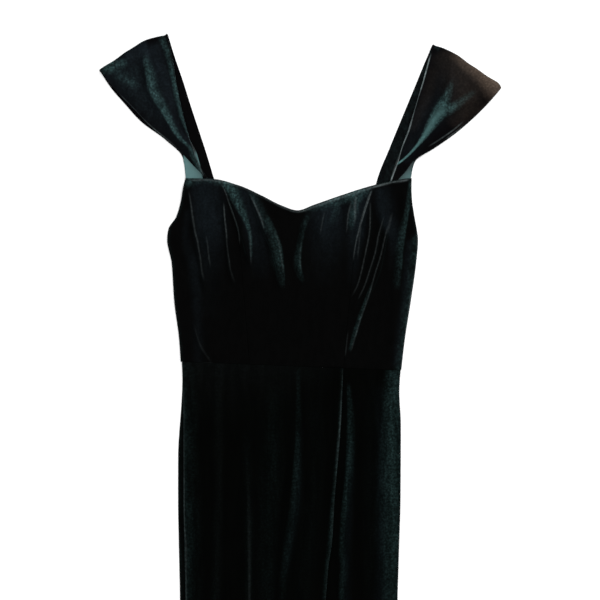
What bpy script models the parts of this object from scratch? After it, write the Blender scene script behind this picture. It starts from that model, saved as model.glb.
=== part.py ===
"""Evening gown in dark green stretch velvet, laid flat on a table with its front up.

The bodice has a centre front, two side fronts and a back. The column skirt has a wide left
front that laps over a narrower right front, and a back. Two wide straps fold over at the
shoulder, and each has a pale facing at its back root.

+X runs across the gown, +Y from the hem to the shoulders and +Z up from the table. The origin
is the middle of the laid-out gown, on the table. Sizes and tables are in millimetres, and
add_wall() turns them into metres.
"""

import math
from collections import namedtuple

import bmesh
import bpy
from mathutils import Vector

MM = 0.001

# Cloth and how its layers lie
WALL = 1.6
SEAM_GAP = 0.3
FACING_WALL = 1.0
FRONT_LAYER = WALL + SEAM_GAP
HOLLOW_SHARE = 0.75
ROLL_DROP = 0.8

# Lengths of the gown
HEM_Y = -805.0
WAIST_Y = 275.5
WAIST_SLOPE = -0.039
BACK_PEEK = 8.0
BACK_PEEK_RAMP = 120.0
BACK_INSET = 1.0

# Lap of the skirt's left front over its right front
LAP_WIDTH = 30.0
LAP_RAMP = 12.0
LAP_LIFT = WALL + SEAM_GAP
LAP_CURL = 1.6
LAP_MARGIN = 2.0

# Fullness of the bust, and the lift of the neckline's corners over the strap roots
BUST_LOFT = 3.4
BUST_REACH = 124.0
BUST_CENTRES = ((-68.0, 440.0), (64.0, 440.0))
CORNER_LIFT = 3.4
CORNER_TOP_Y = 561.0
CORNER_FOOT_Y = 532.0
CORNER_INNER_X = 108.0
CORNER_OUTER_X = 132.0

# Shoulder fold of a strap: the two halves part by twice this radius
TURN_RADIUS = 1.5
TURN_STEPS = 4
TURN_SOFTNESS = 0.3
TURN_LEAN = 4
STRAP_ROOT_CLEAR = FACING_WALL + 2 * SEAM_GAP
STRAP_MIDDLE_CLEAR = 1.0
STRAP_CLEARANCE = (
    (0.0, STRAP_ROOT_CLEAR), (0.35, STRAP_ROOT_CLEAR), (0.75, STRAP_MIDDLE_CLEAR),
    (1.0, 2 * TURN_RADIUS),
)

# How finely each wall is divided
BODICE_ROWS = 26
CENTRE_COLUMNS = 36
SIDE_COLUMNS = 14
BACK_COLUMNS = 8
BACK_ROWS = 6
SKIRT_ROWS = 34
SKIRT_LEFT_COLUMNS = 22
SKIRT_RIGHT_COLUMNS = 8
SKIRT_BACK_ROWS = 17
SKIRT_BACK_COLUMNS = 2
STRAP_COLUMNS = 10
STRAP_FRONT_ROWS = 12
STRAP_BACK_ROWS = 7
FACING_COLUMNS = 2
FACING_ROWS = 3
TURNED_EDGE = (0.0, 1.5, 5.0)
LAP_DIVISIONS = (0.0, 2.0, 7.0, 14.0, 22.0, 32.0, 44.0)
UNDERLAP_DIVISIONS = (0.0, 15.0, 31.0)
PLAIN_EDGE = (0.0,)
SETTLING_PASSES = 6

VELVET = (0.010, 0.030, 0.028, 1.0)
LINING = (0.115, 0.245, 0.225, 1.0)

# Bodice, read upwards: where its side edges and princess seams stand at each height
Section = namedtuple("Section", "y side_left seam_left seam_right side_right")
BODICE = (
    Section(262, -189, -79.5, 69.0, 161),
    Section(320, -193, -84.0, 73.5, 168),
    Section(380, -200, -89.0, 79.0, 176),
    Section(440, -206, -94.0, 85.0, 185),
    Section(478, -213, -98.0, 91.0, 188.5),
    Section(498, -206, -101.0, 95.0, 187),
    Section(515, -198, -104.5, 99.5, 183.5),
    Section(540, -190.5, -114.0, 108.0, 180),
    Section(560, -187, -123.0, 114.0, 178),
    Section(580, -182, -131.0, 121.0, 178.5),
)

# Top edges, read across
Point = namedtuple("Point", "x y")
NECKLINE = (
    Point(-215, 576), Point(-182, 576), Point(-140, 575), Point(-98, 565), Point(-62, 549),
    Point(-30, 533), Point(-4, 525), Point(22, 533), Point(68, 549), Point(114, 563),
    Point(145, 571), Point(178, 576), Point(200, 576),
)
BACK_TOP = (
    Point(-215, 478), Point(-180, 509), Point(-119, 509), Point(-4, 492), Point(109, 509),
    Point(170, 509), Point(190, 478),
)

# Skirt, read upwards: its side edges and the free edge of the lap
Panel = namedtuple("Panel", "y side_left lap_edge side_right")
SKIRT = (
    Panel(-805, -192, 20.0, 164),
    Panel(-400, -188, 29.0, 158),
    Panel(-99, -186, 41.0, 156),
    Panel(-46, -186, 45.0, 157),
    Panel(0, -186, 51.5, 158),
    Panel(61, -186, 55.0, 160),
    Panel(181, -186, 65.0, 160),
    Panel(235, -187, 67.5, 158),
    Panel(284, -189, 69.5, 162),
)

# Folds and gathers, each a crest with a height, a half width and a path from its top down
Fold = namedtuple("Fold", "height width path")
BODICE_FOLDS = (
    Fold(3.6, 9, ((-178, 560), (-168, 500), (-155, 423))),
    Fold(2.6, 10, ((-172, 350), (-159, 309), (-141, 268))),
    Fold(2.8, 9, ((-151, 500), (-146, 451), (-141, 410))),
    Fold(4.4, 10, ((-124, 552), (-120, 502), (-115, 466), (-106, 400))),
    Fold(5.6, 14, ((-118, 582), (-92, 526), (-80, 494), (-77, 430))),
    Fold(6.0, 16, ((-84, 568), (-64, 512), (-42, 478), (-28, 446), (-29, 390))),
    Fold(4.0, 15, ((8, 512), (-1, 447), (6, 400))),
    Fold(2.8, 12, ((42, 540), (31, 480))),
    Fold(4.0, 15, ((88, 570), (76, 512), (70, 478))),
    Fold(4.4, 10, ((114, 556), (111, 498), (105, 451), (81, 372))),
    Fold(4.8, 11, ((138, 530), (126, 485), (110, 423), (84, 352))),
    Fold(5.2, 11, ((143, 505), (126, 437), (102, 374), (79, 288))),
    Fold(5.4, 17, ((170, 590), (164, 509), (157, 421), (146, 262))),
)
SKIRT_FOLDS = (
    Fold(4.4, 16, ((-131, 290), (-131, 53), (-140, -400), (-146, -805))),
    Fold(6.0, 18, ((-84, 150), (-81, -99), (-86, -450), (-94, -805))),
    Fold(9.0, 22, ((-4, 284), (-5, 152), (-15, 8), (-29, -99), (-34, -400), (-38, -805))),
    Fold(5.6, 14, ((80, 262), (82, 168), (72, 45), (66, -99), (74, -450), (80, -805))),
    Fold(6.8, 19, ((138, 300), (138, 100), (136, -99), (138, -805))),
)
FOLD_FADE = 34.0
WAIST_FADE = 18.0
WAIST_KEPT = 0.35
NECK_FADE = 22.0
NECK_KEPT = 0.45
SIDE_FADE = 12.0

# Straps: stations from the front root to the shoulder, then from the shoulder to the back root
Station = namedtuple("Station", "outer_x outer_y inner_x inner_y")
StrapRay = namedtuple("StrapRay", "height width path")
STRAPS = {
    "left": {
        "front": (
            Station(-154.0, 566, -146.0, 566),
            Station(-154.0, 577, -148.5, 577),
            Station(-172.0, 598, -160.0, 596),
            Station(-195.0, 622, -168.5, 617),
            Station(-219.0, 642, -177.5, 643),
            Station(-243.0, 663, -184.0, 667),
            Station(-267.0, 687, -191.0, 696),
            Station(-289.0, 709, -197.5, 729),
            Station(-308.0, 731, -203.0, 764),
            Station(-321.5, 748, -211.0, 805),
        ),
        "back": (
            Station(-321.5, 748, -211.0, 805),
            Station(-304.0, 721, -200.0, 768),
            Station(-281.0, 696, -189.0, 735),
            Station(-253.0, 668, -175.0, 690),
            Station(-216.0, 636, -162.0, 650),
            Station(-187.5, 609, -151.0, 616),
            Station(-183.0, 577, -139.5, 578),
            Station(-181.0, 509.3, -118.0, 509.3),
        ),
        "rays": (
            StrapRay(7.4, 15, ((0.22, 0.70), (0.35, 0.66), (0.55, 0.62), (1.0, 0.66))),
            StrapRay(4.4, 10, ((0.25, 0.90), (0.60, 0.90), (1.0, 0.95))),
            StrapRay(3.4, 20, ((0.55, 0.25), (1.0, 0.14))),
        ),
        "bulge": 8.0,
        "skew": 1.4,
    },
    "right": {
        "front": (
            Station(160.0, 562, 147.0, 562),
            Station(157.0, 572, 144.5, 572),
            Station(170.0, 588, 150.5, 589),
            Station(180.0, 602, 155.5, 601),
            Station(196.0, 614, 162.0, 624),
            Station(217.0, 628, 169.5, 645),
            Station(250.0, 649, 179.0, 673),
            Station(280.0, 676, 190.0, 709),
            Station(306.0, 703, 202.0, 752),
            Station(324.0, 725, 211.5, 789),
        ),
        "back": (
            Station(324.0, 725, 211.5, 789),
            Station(305.0, 701, 198.5, 757),
            Station(280.5, 674.5, 185.0, 724),
            Station(249.0, 647, 172.0, 692),
            Station(216.0, 626, 159.0, 660),
            Station(184.0, 603, 142.0, 618),
            Station(177.5, 577, 127.5, 582),
            Station(171.0, 509.3, 108.0, 509.3),
        ),
        "rays": (
            StrapRay(7.6, 16, ((0.26, 0.90), (0.40, 0.62), (0.60, 0.52), (1.0, 0.68))),
            StrapRay(4.2, 16, ((0.58, 0.42), (0.80, 0.24), (1.0, 0.22))),
            StrapRay(3.4, 10, ((0.30, 0.96), (1.0, 0.94))),
        ),
        "bulge": 5.5,
        "skew": 2.2,
    },
}
RAY_FADE = 0.16
RAY_BREADTH = 0.45
FACING_SPAN = (0.60, 0.925)
FACING_SHARE = 0.62


def clear_objects():
    """Empty the scene, so that only the gown is in it."""
    for old in list(bpy.data.objects):
        bpy.data.objects.remove(old, do_unlink=True)


def ease(share):
    """Rise from 0 to 1 with level ends."""
    share = min(max(share, 0.0), 1.0)
    return share * share * (3.0 - 2.0 * share)


def between(start, end, share):
    """Value at a share of the way from start to end."""
    return start + (end - start) * share


def slopes(keys, values):
    """Slope at each key of a curve that keeps between its values."""
    runs = [keys[i + 1] - keys[i] for i in range(len(keys) - 1)]
    grades = [(values[i + 1] - values[i]) / runs[i] for i in range(len(runs))]
    result = [grades[0]]
    for before, after in zip(grades, grades[1:]):
        same_way = before * after > 0.0
        result.append(2.0 * before * after / (before + after) if same_way else 0.0)
    result.append(grades[-1])
    return result


def curve(keys, values, at):
    """Smooth curve through rising keys, held level beyond both ends."""
    if at <= keys[0]:
        return values[0]
    if at >= keys[-1]:
        return values[-1]
    grade = slopes(keys, values)
    i = max(n for n in range(len(keys) - 1) if keys[n] <= at)
    run = keys[i + 1] - keys[i]
    t = (at - keys[i]) / run
    near = (1.0 + 2.0 * t) * (1.0 - t) ** 2 * values[i] + t * (1.0 - t) ** 2 * run * grade[i]
    far = t * t * (3.0 - 2.0 * t) * values[i + 1] + t * t * (t - 1.0) * run * grade[i + 1]
    return near + far


def column(table, key, name, at):
    """One named column of a table, read at a place along another."""
    keys = [getattr(row, key) for row in table]
    values = [getattr(row, name) for row in table]
    return curve(keys, values, at)


def edge(table, name):
    """A side edge or seam as a function of height."""
    return lambda y: column(table, "y", name, y)


def shifted(line, distance):
    """The same line, moved across by a distance."""
    return lambda y: line(y) + distance


def waist(x):
    """Height of the waist seam, which drops a little across the gown."""
    return WAIST_Y + WAIST_SLOPE * x


def neckline(x):
    """Height of the sweetheart neckline."""
    return column(NECKLINE, "x", "y", x)


def crest(distance, half_width):
    """Rounded ridge, 1 at its crest and 0 from half_width away."""
    if abs(distance) >= half_width:
        return 0.0
    return 0.5 * (1.0 + math.cos(math.pi * distance / half_width))


def folds_height(folds, x, y):
    """Height of all the folds over one place."""
    total = 0.0
    for fold in folds:
        top, foot = fold.path[0][1], fold.path[-1][1]
        if not foot <= y <= top:
            continue
        upwards = fold.path[::-1]
        middle = curve([p[1] for p in upwards], [p[0] for p in upwards], y)
        swell = ease((top - y) / FOLD_FADE)
        if foot > HEM_Y:
            swell *= ease((y - foot) / FOLD_FADE)
        total += fold.height * swell * crest(x - middle, fold.width)
    return total


def corner_lift(x, y):
    """Rise of the neckline's corners over the roots of the straps."""
    across = ease((abs(x) - CORNER_INNER_X) / (CORNER_OUTER_X - CORNER_INNER_X))
    up = ease((y - CORNER_FOOT_Y) / (CORNER_TOP_Y - CORNER_FOOT_Y))
    return CORNER_LIFT * across * up


def bust_loft(x, y):
    """Soft fullness over each side of the bust."""
    loft = 0.0
    for centre_x, centre_y in BUST_CENTRES:
        away = math.hypot(x - centre_x, y - centre_y)
        loft += BUST_LOFT * crest(away, BUST_REACH)
    return min(loft, BUST_LOFT)


def from_sides(table, x, y):
    """Distance to the nearer side edge."""
    return min(x - column(table, "y", "side_left", y), column(table, "y", "side_right", y) - x)


def bodice_lift(x, y):
    """Lift of the bodice's front: firm over lower layers, and soft in folds and fullness."""
    at_neck = between(NECK_KEPT, 1.0, ease((neckline(x) - y) / NECK_FADE))
    at_waist = between(WAIST_KEPT, 1.0, ease((y - waist(x)) / WAIST_FADE))
    at_side = ease(from_sides(BODICE, x, y) / SIDE_FADE)
    soft = (folds_height(BODICE_FOLDS, x, y) + bust_loft(x, y)) * at_neck * at_waist * at_side
    return corner_lift(x, y), soft


def skirt_folds(x, y):
    """Height of the folds in the skirt's front."""
    at_waist = between(WAIST_KEPT, 1.0, ease((waist(x) - y) / WAIST_FADE))
    at_side = ease(from_sides(SKIRT, x, y) / SIDE_FADE)
    return folds_height(SKIRT_FOLDS, x, y) * at_waist * at_side


def lapping_lift(x, y):
    """Lift of the skirt's left front: firm on the lap, and soft in folds and the edge's curl."""
    to_edge = column(SKIRT, "y", "lap_edge", y) - x
    on_lap = ease((LAP_WIDTH + LAP_MARGIN + LAP_RAMP - to_edge) / LAP_RAMP)
    curl = LAP_CURL * ease(1.0 - to_edge / LAP_RAMP)
    return LAP_LIFT * on_lap, between(skirt_folds(x, y), curl, on_lap)


def lapped_lift(x, y):
    """Lift of the skirt's right front, which is flat where the lap covers it."""
    past_edge = x - column(SKIRT, "y", "lap_edge", y)
    return 0.0, skirt_folds(x, y) * ease((past_edge - 1.0) / LAP_RAMP)


def flat(x, y):
    """No lift: cloth that lies flat on the layer below."""
    return 0.0, 0.0


def spread(start, end, count, start_edge=PLAIN_EDGE, end_edge=PLAIN_EDGE):
    """Places from start to end: those of each edge's own divisions, and even ones between."""
    first, last = start + start_edge[-1], end - end_edge[-1]
    opening = [start + inset for inset in start_edge[:-1]]
    closing = [end - inset for inset in reversed(end_edge[:-1])]
    return opening + [between(first, last, i / count) for i in range(count + 1)] + closing


def panel_grid(left, right, foot, top, rows, columns,
               start_edge=PLAIN_EDGE, end_edge=PLAIN_EDGE):
    """Points of a panel: rows from foot to top, with columns that follow its side edges."""
    grid = []
    for i in range(rows + 1):
        share = i / rows
        line = []
        guess_y = between(foot(0.0), top(0.0), share)
        start, end = left(guess_y), right(guess_y)
        for place in spread(start, end, columns, start_edge, end_edge):
            across = (place - start) / (end - start)
            x, y = place, guess_y
            for _ in range(SETTLING_PASSES):
                y = between(foot(x), top(x), share)
                x = between(left(y), right(y), across)
            line.append((x, y))
        grid.append(line)
    return grid


def add_wall(name, under, over, colour, parent, layer=0.0):
    """A closed wall of cloth between two matching grids of points, placed on its layer."""
    mesh = bpy.data.meshes.new(name)
    bm = bmesh.new()
    grids = []
    for points in (under, over):
        grids.append([[bm.verts.new(Vector(p) * MM) for p in row] for row in points])
    low, high = grids
    rows, columns = len(low), len(low[0])
    for i in range(rows - 1):
        for j in range(columns - 1):
            bm.faces.new((high[i][j], high[i][j + 1], high[i + 1][j + 1], high[i + 1][j]))
            bm.faces.new((low[i][j], low[i + 1][j], low[i + 1][j + 1], low[i][j + 1]))
    rim = [(0, j) for j in range(columns)]
    rim += [(i, columns - 1) for i in range(1, rows)]
    rim += [(rows - 1, j) for j in range(columns - 2, -1, -1)]
    rim += [(i, 0) for i in range(rows - 2, 0, -1)]
    for (i, j), (m, n) in zip(rim, rim[1:] + rim[:1]):
        bm.faces.new((low[i][j], low[m][n], high[m][n], high[i][j]))
    bmesh.ops.recalc_face_normals(bm, faces=bm.faces)
    for face in bm.faces:
        face.smooth = True
    bm.to_mesh(mesh)
    bm.free()
    mesh.materials.append(cloth(name, colour))
    piece = bpy.data.objects.new(name, mesh)
    piece.location = (0.0, 0.0, layer * MM)
    piece.parent = parent
    bpy.context.collection.objects.link(piece)
    return piece


def cloth(name, colour):
    """A matt cloth finish for one piece."""
    material = bpy.data.materials.new(name + "_cloth")
    material.use_nodes = True
    shader = material.node_tree.nodes["Principled BSDF"]
    shader.inputs["Base Color"].default_value = colour
    shader.inputs["Roughness"].default_value = 0.85
    shader.inputs["Metallic"].default_value = 0.0
    return material


def add_panel(name, grid, lift, parent, layer, rolled=()):
    """A panel of velvet: its underside follows a soft fold less than its face does."""
    under, over = [], []
    rolled_columns = [j % len(grid[0]) for j in rolled]
    for line in grid:
        under_line, over_line = [], []
        for j, (x, y) in enumerate(line):
            firm, soft = lift(x, y)
            drop = ROLL_DROP if j in rolled_columns else 0.0
            under_line.append((x, y, firm + soft * HOLLOW_SHARE))
            over_line.append((x, y, WALL + firm + soft - drop))
        under.append(under_line)
        over.append(over_line)
    return add_wall(name, under, over, VELVET, parent, layer)


def add_bodice(parent):
    """The four pieces of the bodice."""
    side_left, side_right = edge(BODICE, "side_left"), edge(BODICE, "side_right")
    seam_left, seam_right = edge(BODICE, "seam_left"), edge(BODICE, "seam_right")
    half_gap = SEAM_GAP / 2.0
    foot = shifted(waist, half_gap)

    def back_top(x):
        return column(BACK_TOP, "x", "y", x)

    centre = panel_grid(shifted(seam_left, half_gap), shifted(seam_right, -half_gap), foot,
                        neckline, BODICE_ROWS, CENTRE_COLUMNS)
    left = panel_grid(side_left, shifted(seam_left, -half_gap), foot, neckline,
                      BODICE_ROWS, SIDE_COLUMNS, start_edge=TURNED_EDGE)
    right = panel_grid(shifted(seam_right, half_gap), side_right, foot, neckline,
                       BODICE_ROWS, SIDE_COLUMNS, end_edge=TURNED_EDGE)
    back = panel_grid(shifted(side_left, BACK_INSET), shifted(side_right, -BACK_INSET), foot,
                      back_top, BACK_ROWS, BACK_COLUMNS)
    add_panel("bodice_front_center", centre, bodice_lift, parent, FRONT_LAYER)
    add_panel("bodice_side_front_left", left, bodice_lift, parent, FRONT_LAYER, rolled=(0,))
    add_panel("bodice_side_front_right", right, bodice_lift, parent, FRONT_LAYER, rolled=(-1,))
    add_panel("bodice_back", back, flat, parent, 0.0)


def add_skirt(parent):
    """The three pieces of the skirt."""
    side_left, side_right = edge(SKIRT, "side_left"), edge(SKIRT, "side_right")
    lap_edge = edge(SKIRT, "lap_edge")
    top = shifted(waist, -SEAM_GAP / 2.0)

    def hem(x):
        return HEM_Y

    def back_left(y):
        return side_left(y) - BACK_PEEK * ease((WAIST_Y - y) / BACK_PEEK_RAMP)

    lapping = panel_grid(side_left, lap_edge, hem, top, SKIRT_ROWS, SKIRT_LEFT_COLUMNS,
                         start_edge=TURNED_EDGE, end_edge=LAP_DIVISIONS)
    lapped = panel_grid(shifted(lap_edge, -LAP_WIDTH), side_right, hem, top, SKIRT_ROWS,
                        SKIRT_RIGHT_COLUMNS, start_edge=UNDERLAP_DIVISIONS,
                        end_edge=TURNED_EDGE)
    back = panel_grid(back_left, shifted(side_right, -BACK_INSET), hem, top,
                      SKIRT_BACK_ROWS, SKIRT_BACK_COLUMNS)
    add_panel("skirt_front_left", lapping, lapping_lift, parent, FRONT_LAYER, rolled=(0, -1))
    add_panel("skirt_front_right", lapped, lapped_lift, parent, FRONT_LAYER, rolled=(-1,))
    add_panel("skirt_back", back, flat, parent, 0.0)


def strap_point(stations, along, across):
    """Place on one half of a strap, by its shares along and across."""
    keys = [i / (len(stations) - 1) for i in range(len(stations))]
    outer = Vector((curve(keys, [s.outer_x for s in stations], along),
                    curve(keys, [s.outer_y for s in stations], along)))
    inner = Vector((curve(keys, [s.inner_x for s in stations], along),
                    curve(keys, [s.inner_y for s in stations], along)))
    return outer.lerp(inner, across)


def strap_breadth(stations, along):
    """Distance across one half of a strap."""
    return (strap_point(stations, along, 0.0) - strap_point(stations, along, 1.0)).length


def shoulder_normal(stations):
    """Direction away from the gown, square to the shoulder fold."""
    fold = strap_point(stations, 1.0, 1.0) - strap_point(stations, 1.0, 0.0)
    normal = Vector((-fold.y, fold.x)).normalized()
    return normal if normal.y > 0.0 else -normal


def ray_height(rays, stations, along, across):
    """Height of a strap's soft folds, which fan out from its root."""
    breadth = strap_breadth(stations, along)
    total = 0.0
    for ray in rays:
        start = ray.path[0][0]
        middle = curve([p[0] for p in ray.path], [p[1] for p in ray.path], along)
        swell = ease((along - start) / RAY_FADE)
        width = min(ray.width, RAY_BREADTH * breadth)
        total += ray.height * swell * crest((across - middle) * breadth, width)
    return total


def strap_clearance(along):
    """Room between the two halves: over the facing, then the middle, then the fold."""
    return curve([row[0] for row in STRAP_CLEARANCE], [row[1] for row in STRAP_CLEARANCE],
                 along)


def add_strap(side, parent):
    """One strap: its front half, the turn over the shoulder and its back half."""
    strap = STRAPS[side]
    front, back = strap["front"], strap["back"]
    normal = shoulder_normal(front)
    inset = TURN_RADIUS + WALL
    inside, face = [], []
    shares = [j / STRAP_COLUMNS for j in range(STRAP_COLUMNS + 1)]

    def bulge(along, across):
        arch = math.sin(math.pi * across ** strap["skew"])
        return normal * ((strap["bulge"] * arch - inset) * along ** TURN_LEAN)

    for i in range(STRAP_FRONT_ROWS + 1):
        along = i / STRAP_FRONT_ROWS
        inner_line, face_line = [], []
        for across in shares:
            place = strap_point(front, along, across) + bulge(along, across)
            soft = ray_height(strap["rays"], front, along, across)
            soft *= between(TURN_SOFTNESS, 1.0, ease((1.0 - along) / RAY_FADE))
            base = WALL + strap_clearance(along)
            inner_line.append((place.x, place.y, base + soft * HOLLOW_SHARE))
            face_line.append((place.x, place.y, base + WALL + soft))
        inside.append(inner_line)
        face.append(face_line)
    inside += turn_rows(strap, shares, bulge, normal, TURN_RADIUS, HOLLOW_SHARE)
    face += turn_rows(strap, shares, bulge, normal, TURN_RADIUS + WALL, 1.0)
    for i in range(STRAP_BACK_ROWS + 1):
        along = i / STRAP_BACK_ROWS
        places = [strap_point(back, along, t) + bulge(1.0 - along, t) for t in shares]
        inside.append([(p.x, p.y, WALL) for p in places])
        face.append([(p.x, p.y, 0.0) for p in places])
    add_wall("strap_" + side, inside, face, VELVET, parent)


def turn_rows(strap, shares, bulge, normal, radius, share):
    """Rows round the shoulder fold, from the front half down to the back half."""
    rows = []
    axis_z = WALL + TURN_RADIUS
    for step in range(1, TURN_STEPS):
        angle = math.pi * step / TURN_STEPS
        line = []
        for across in shares:
            place = strap_point(strap["front"], 1.0, across) + bulge(1.0, across)
            soft = TURN_SOFTNESS * ray_height(strap["rays"], strap["front"], 1.0, across)
            place = place + normal * (radius * math.sin(angle))
            rise = soft * share * max(math.cos(angle), 0.0)
            line.append((place.x, place.y, axis_z + radius * math.cos(angle) + rise))
        rows.append(line)
    return rows


def add_facing(side, parent):
    """The pale facing that lies on a strap's back half, at its root."""
    back = STRAPS[side]["back"]
    start, end = FACING_SPAN
    under, over = [], []
    for i in range(FACING_ROWS + 1):
        along = between(start, end, i / FACING_ROWS)
        places = [strap_point(back, along, FACING_SHARE * j / FACING_COLUMNS)
                  for j in range(FACING_COLUMNS + 1)]
        under.append([(p.x, p.y, 0.0) for p in places])
        over.append([(p.x, p.y, FACING_WALL) for p in places])
    add_wall("strap_facing_" + side, under, over, LINING, parent, FRONT_LAYER)


def build():
    """The whole gown, under one empty."""
    clear_objects()
    gown = bpy.data.objects.new("gown", None)
    bpy.context.collection.objects.link(gown)
    add_bodice(gown)
    add_skirt(gown)
    for side in STRAPS:
        add_strap(side, gown)
        add_facing(side, gown)


build()
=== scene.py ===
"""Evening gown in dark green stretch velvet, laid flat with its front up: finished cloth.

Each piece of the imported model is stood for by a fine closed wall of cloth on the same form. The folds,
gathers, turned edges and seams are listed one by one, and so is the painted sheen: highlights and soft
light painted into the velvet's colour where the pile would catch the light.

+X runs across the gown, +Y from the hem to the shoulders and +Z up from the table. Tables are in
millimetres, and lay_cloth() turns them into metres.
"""

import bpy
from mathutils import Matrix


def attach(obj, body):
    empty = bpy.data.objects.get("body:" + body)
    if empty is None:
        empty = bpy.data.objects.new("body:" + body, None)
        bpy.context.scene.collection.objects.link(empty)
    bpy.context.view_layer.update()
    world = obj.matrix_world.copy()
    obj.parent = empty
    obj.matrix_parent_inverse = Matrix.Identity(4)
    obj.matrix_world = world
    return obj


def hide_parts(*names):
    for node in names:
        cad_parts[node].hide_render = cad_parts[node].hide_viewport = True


bl_info = {
    "name": "Evening Gown in Velvet",
    "version": (1, 0, 0),
    "blender": (4, 5, 0),
    "location": "View3D > Sidebar > Gown",
    "description": "Lays out a velvet evening gown over its packed model",
    "category": "Object",
}

import math
from collections import namedtuple

import bpy
import numpy as np
from bpy.props import FloatProperty, FloatVectorProperty, PointerProperty
from mathutils import Vector

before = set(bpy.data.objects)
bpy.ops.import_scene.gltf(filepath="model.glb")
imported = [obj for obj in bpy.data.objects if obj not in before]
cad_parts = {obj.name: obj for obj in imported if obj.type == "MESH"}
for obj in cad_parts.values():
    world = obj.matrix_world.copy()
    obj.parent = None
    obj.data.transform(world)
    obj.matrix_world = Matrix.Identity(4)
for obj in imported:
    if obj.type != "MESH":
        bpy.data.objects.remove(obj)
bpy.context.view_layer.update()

MM = 0.001
BODY = "root"

# Cloth and how its layers lie
WALL = 1.6
SEAM_GAP = 0.3
FACING_WALL = 1.0
FRONT_LAYER = WALL + SEAM_GAP
HOLLOW_SHARE = 0.75

# Lengths of the gown
HEM_Y = -805.0
WAIST_Y = 275.5
WAIST_SLOPE = -0.039
BACK_PEEK = 9.0
BACK_PEEK_RAMP = 150.0
BACK_INSET = 1.0

# Lap of the skirt's left front over its right front
LAP_WIDTH = 30.0
LAP_RAMP = 12.0
LAP_LIFT = WALL + SEAM_GAP
LAP_CURL = 2.2
LAP_MARGIN = 2.0
LAP_EDGE_CLEAR = 1.0

# Fullness of the bust, and the lift of the neckline's corners over the strap roots
BUST_LOFT = 3.4
BUST_REACH = 124.0
BUST_CENTRES = ((-68.0, 440.0), (64.0, 440.0))
CORNER_LIFT = 3.4
CORNER_TOP_Y = 561.0
CORNER_FOOT_Y = 532.0
CORNER_INNER_X = 108.0
CORNER_OUTER_X = 132.0

# Edges: a turned edge is rounded over, and a seamed one dips into its seam
TURNED_ROUND = 2.6
TURNED_DROP = 1.2
TURNED_FULLNESS = 0.7
TURNED_BEAD = 7.0
SEAM_ROUND = 3.0
SEAM_DROP = 0.45
EDGE_PLACES = np.array((0.0, 0.5, 1.1, 1.9, 3.0, 4.5))

# Edges of a panel: their places in its grid, and the axis and way in which they face
EDGES = {
    "left": ((slice(None), slice(1)), 0, -1),
    "right": ((slice(None), slice(-1, None)), 0, 1),
    "foot": ((slice(1), slice(None)), 1, -1),
    "top": ((slice(-1, None), slice(None)), 1, 1),
}

# Shoulder fold of a strap: the two halves part by twice this radius
TURN_RADIUS = 1.5
TURN_STEPS = 10
TURN_SOFTNESS = 0.3
TURN_LEAN = 4
TURN_FADE = 0.16
STRAP_ROOT_CLEAR = FACING_WALL + 2 * SEAM_GAP
STRAP_MIDDLE_CLEAR = 1.0
STRAP_CLEARANCE = (
    (0.0, STRAP_ROOT_CLEAR), (0.35, STRAP_ROOT_CLEAR), (0.75, STRAP_MIDDLE_CLEAR),
    (1.0, 2 * TURN_RADIUS),
)
CORNER_REACH = 11.0
PEAK_REACH = 7.0
SHOULDER_WAVE = 0.4
SHOULDER_RIPPLE = 6.0
STRAP_ROOT_Y = 578.0
STRAP_ROOT_FADE = 14.0
STRAP_EDGE_FADE = 5.0
STRAP_EDGE_KEPT = 0.35
STRAP_EDGE_ROUND = 2.4
STRAP_EDGE_DROP = 0.9

# Fineness of the walls
ROW_SPACING_BODICE = 1.8
ROW_SPACING_SKIRT = 4.8
SKIRT_COARSER = 1.25
ROW_SPACING_STRAP = 1.6
STRAP_COLUMNS = 96
STRAP_BACK_ROWS = 60
BACK_SPACING = 6.0
SETTLING_PASSES = 6
PATH_STEPS = 6

# Bodice, read upwards: where its side edges and princess seams stand at each height
Section = namedtuple("Section", "y side_left seam_left seam_right side_right")
BODICE = (
    Section(262, -189.5, -79.5, 69.0, 161),
    Section(320, -193.4, -84.0, 73.5, 167.8),
    Section(380, -201.2, -89.0, 79.0, 177.2),
    Section(440, -205.2, -94.0, 85.0, 185.6),
    Section(478, -212.4, -98.0, 91.0, 188.7),
    Section(495, -210.4, -100.6, 94.4, 186.6),
    Section(515, -197.8, -104.5, 99.5, 183.0),
    Section(540, -190.5, -114.0, 108.0, 179.2),
    Section(560, -187, -123.0, 114.0, 178),
    Section(580, -182, -131.0, 121.0, 178.5),
)

# Top edges, read across
Point = namedtuple("Point", "x y")
NECKLINE = (
    Point(-215, 576), Point(-182, 576), Point(-140, 575), Point(-98, 565), Point(-62, 549),
    Point(-30, 533), Point(-4, 525), Point(22, 533.8), Point(68, 549.8), Point(114, 564.2),
    Point(145, 571), Point(178, 576), Point(200, 576),
)
BACK_TOP = (
    Point(-215, 478), Point(-180, 509), Point(-119, 509), Point(-4, 492), Point(109, 509),
    Point(170, 509), Point(190, 478),
)

# Skirt, read upwards: its side edges and the free edge of the lap
Panel = namedtuple("Panel", "y side_left lap_edge side_right")
SKIRT = (
    Panel(-805, -191, 20.0, 164),
    Panel(-400, -186, 29.0, 158),
    Panel(-99, -183, 41.0, 156),
    Panel(-46, -184, 45.0, 157.4),
    Panel(0, -185, 51.5, 158.8),
    Panel(61, -186, 55.0, 160.6),
    Panel(181, -186, 65.0, 161.2),
    Panel(235, -187, 67.5, 158.8),
    Panel(284, -189, 69.5, 162),
)

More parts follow.
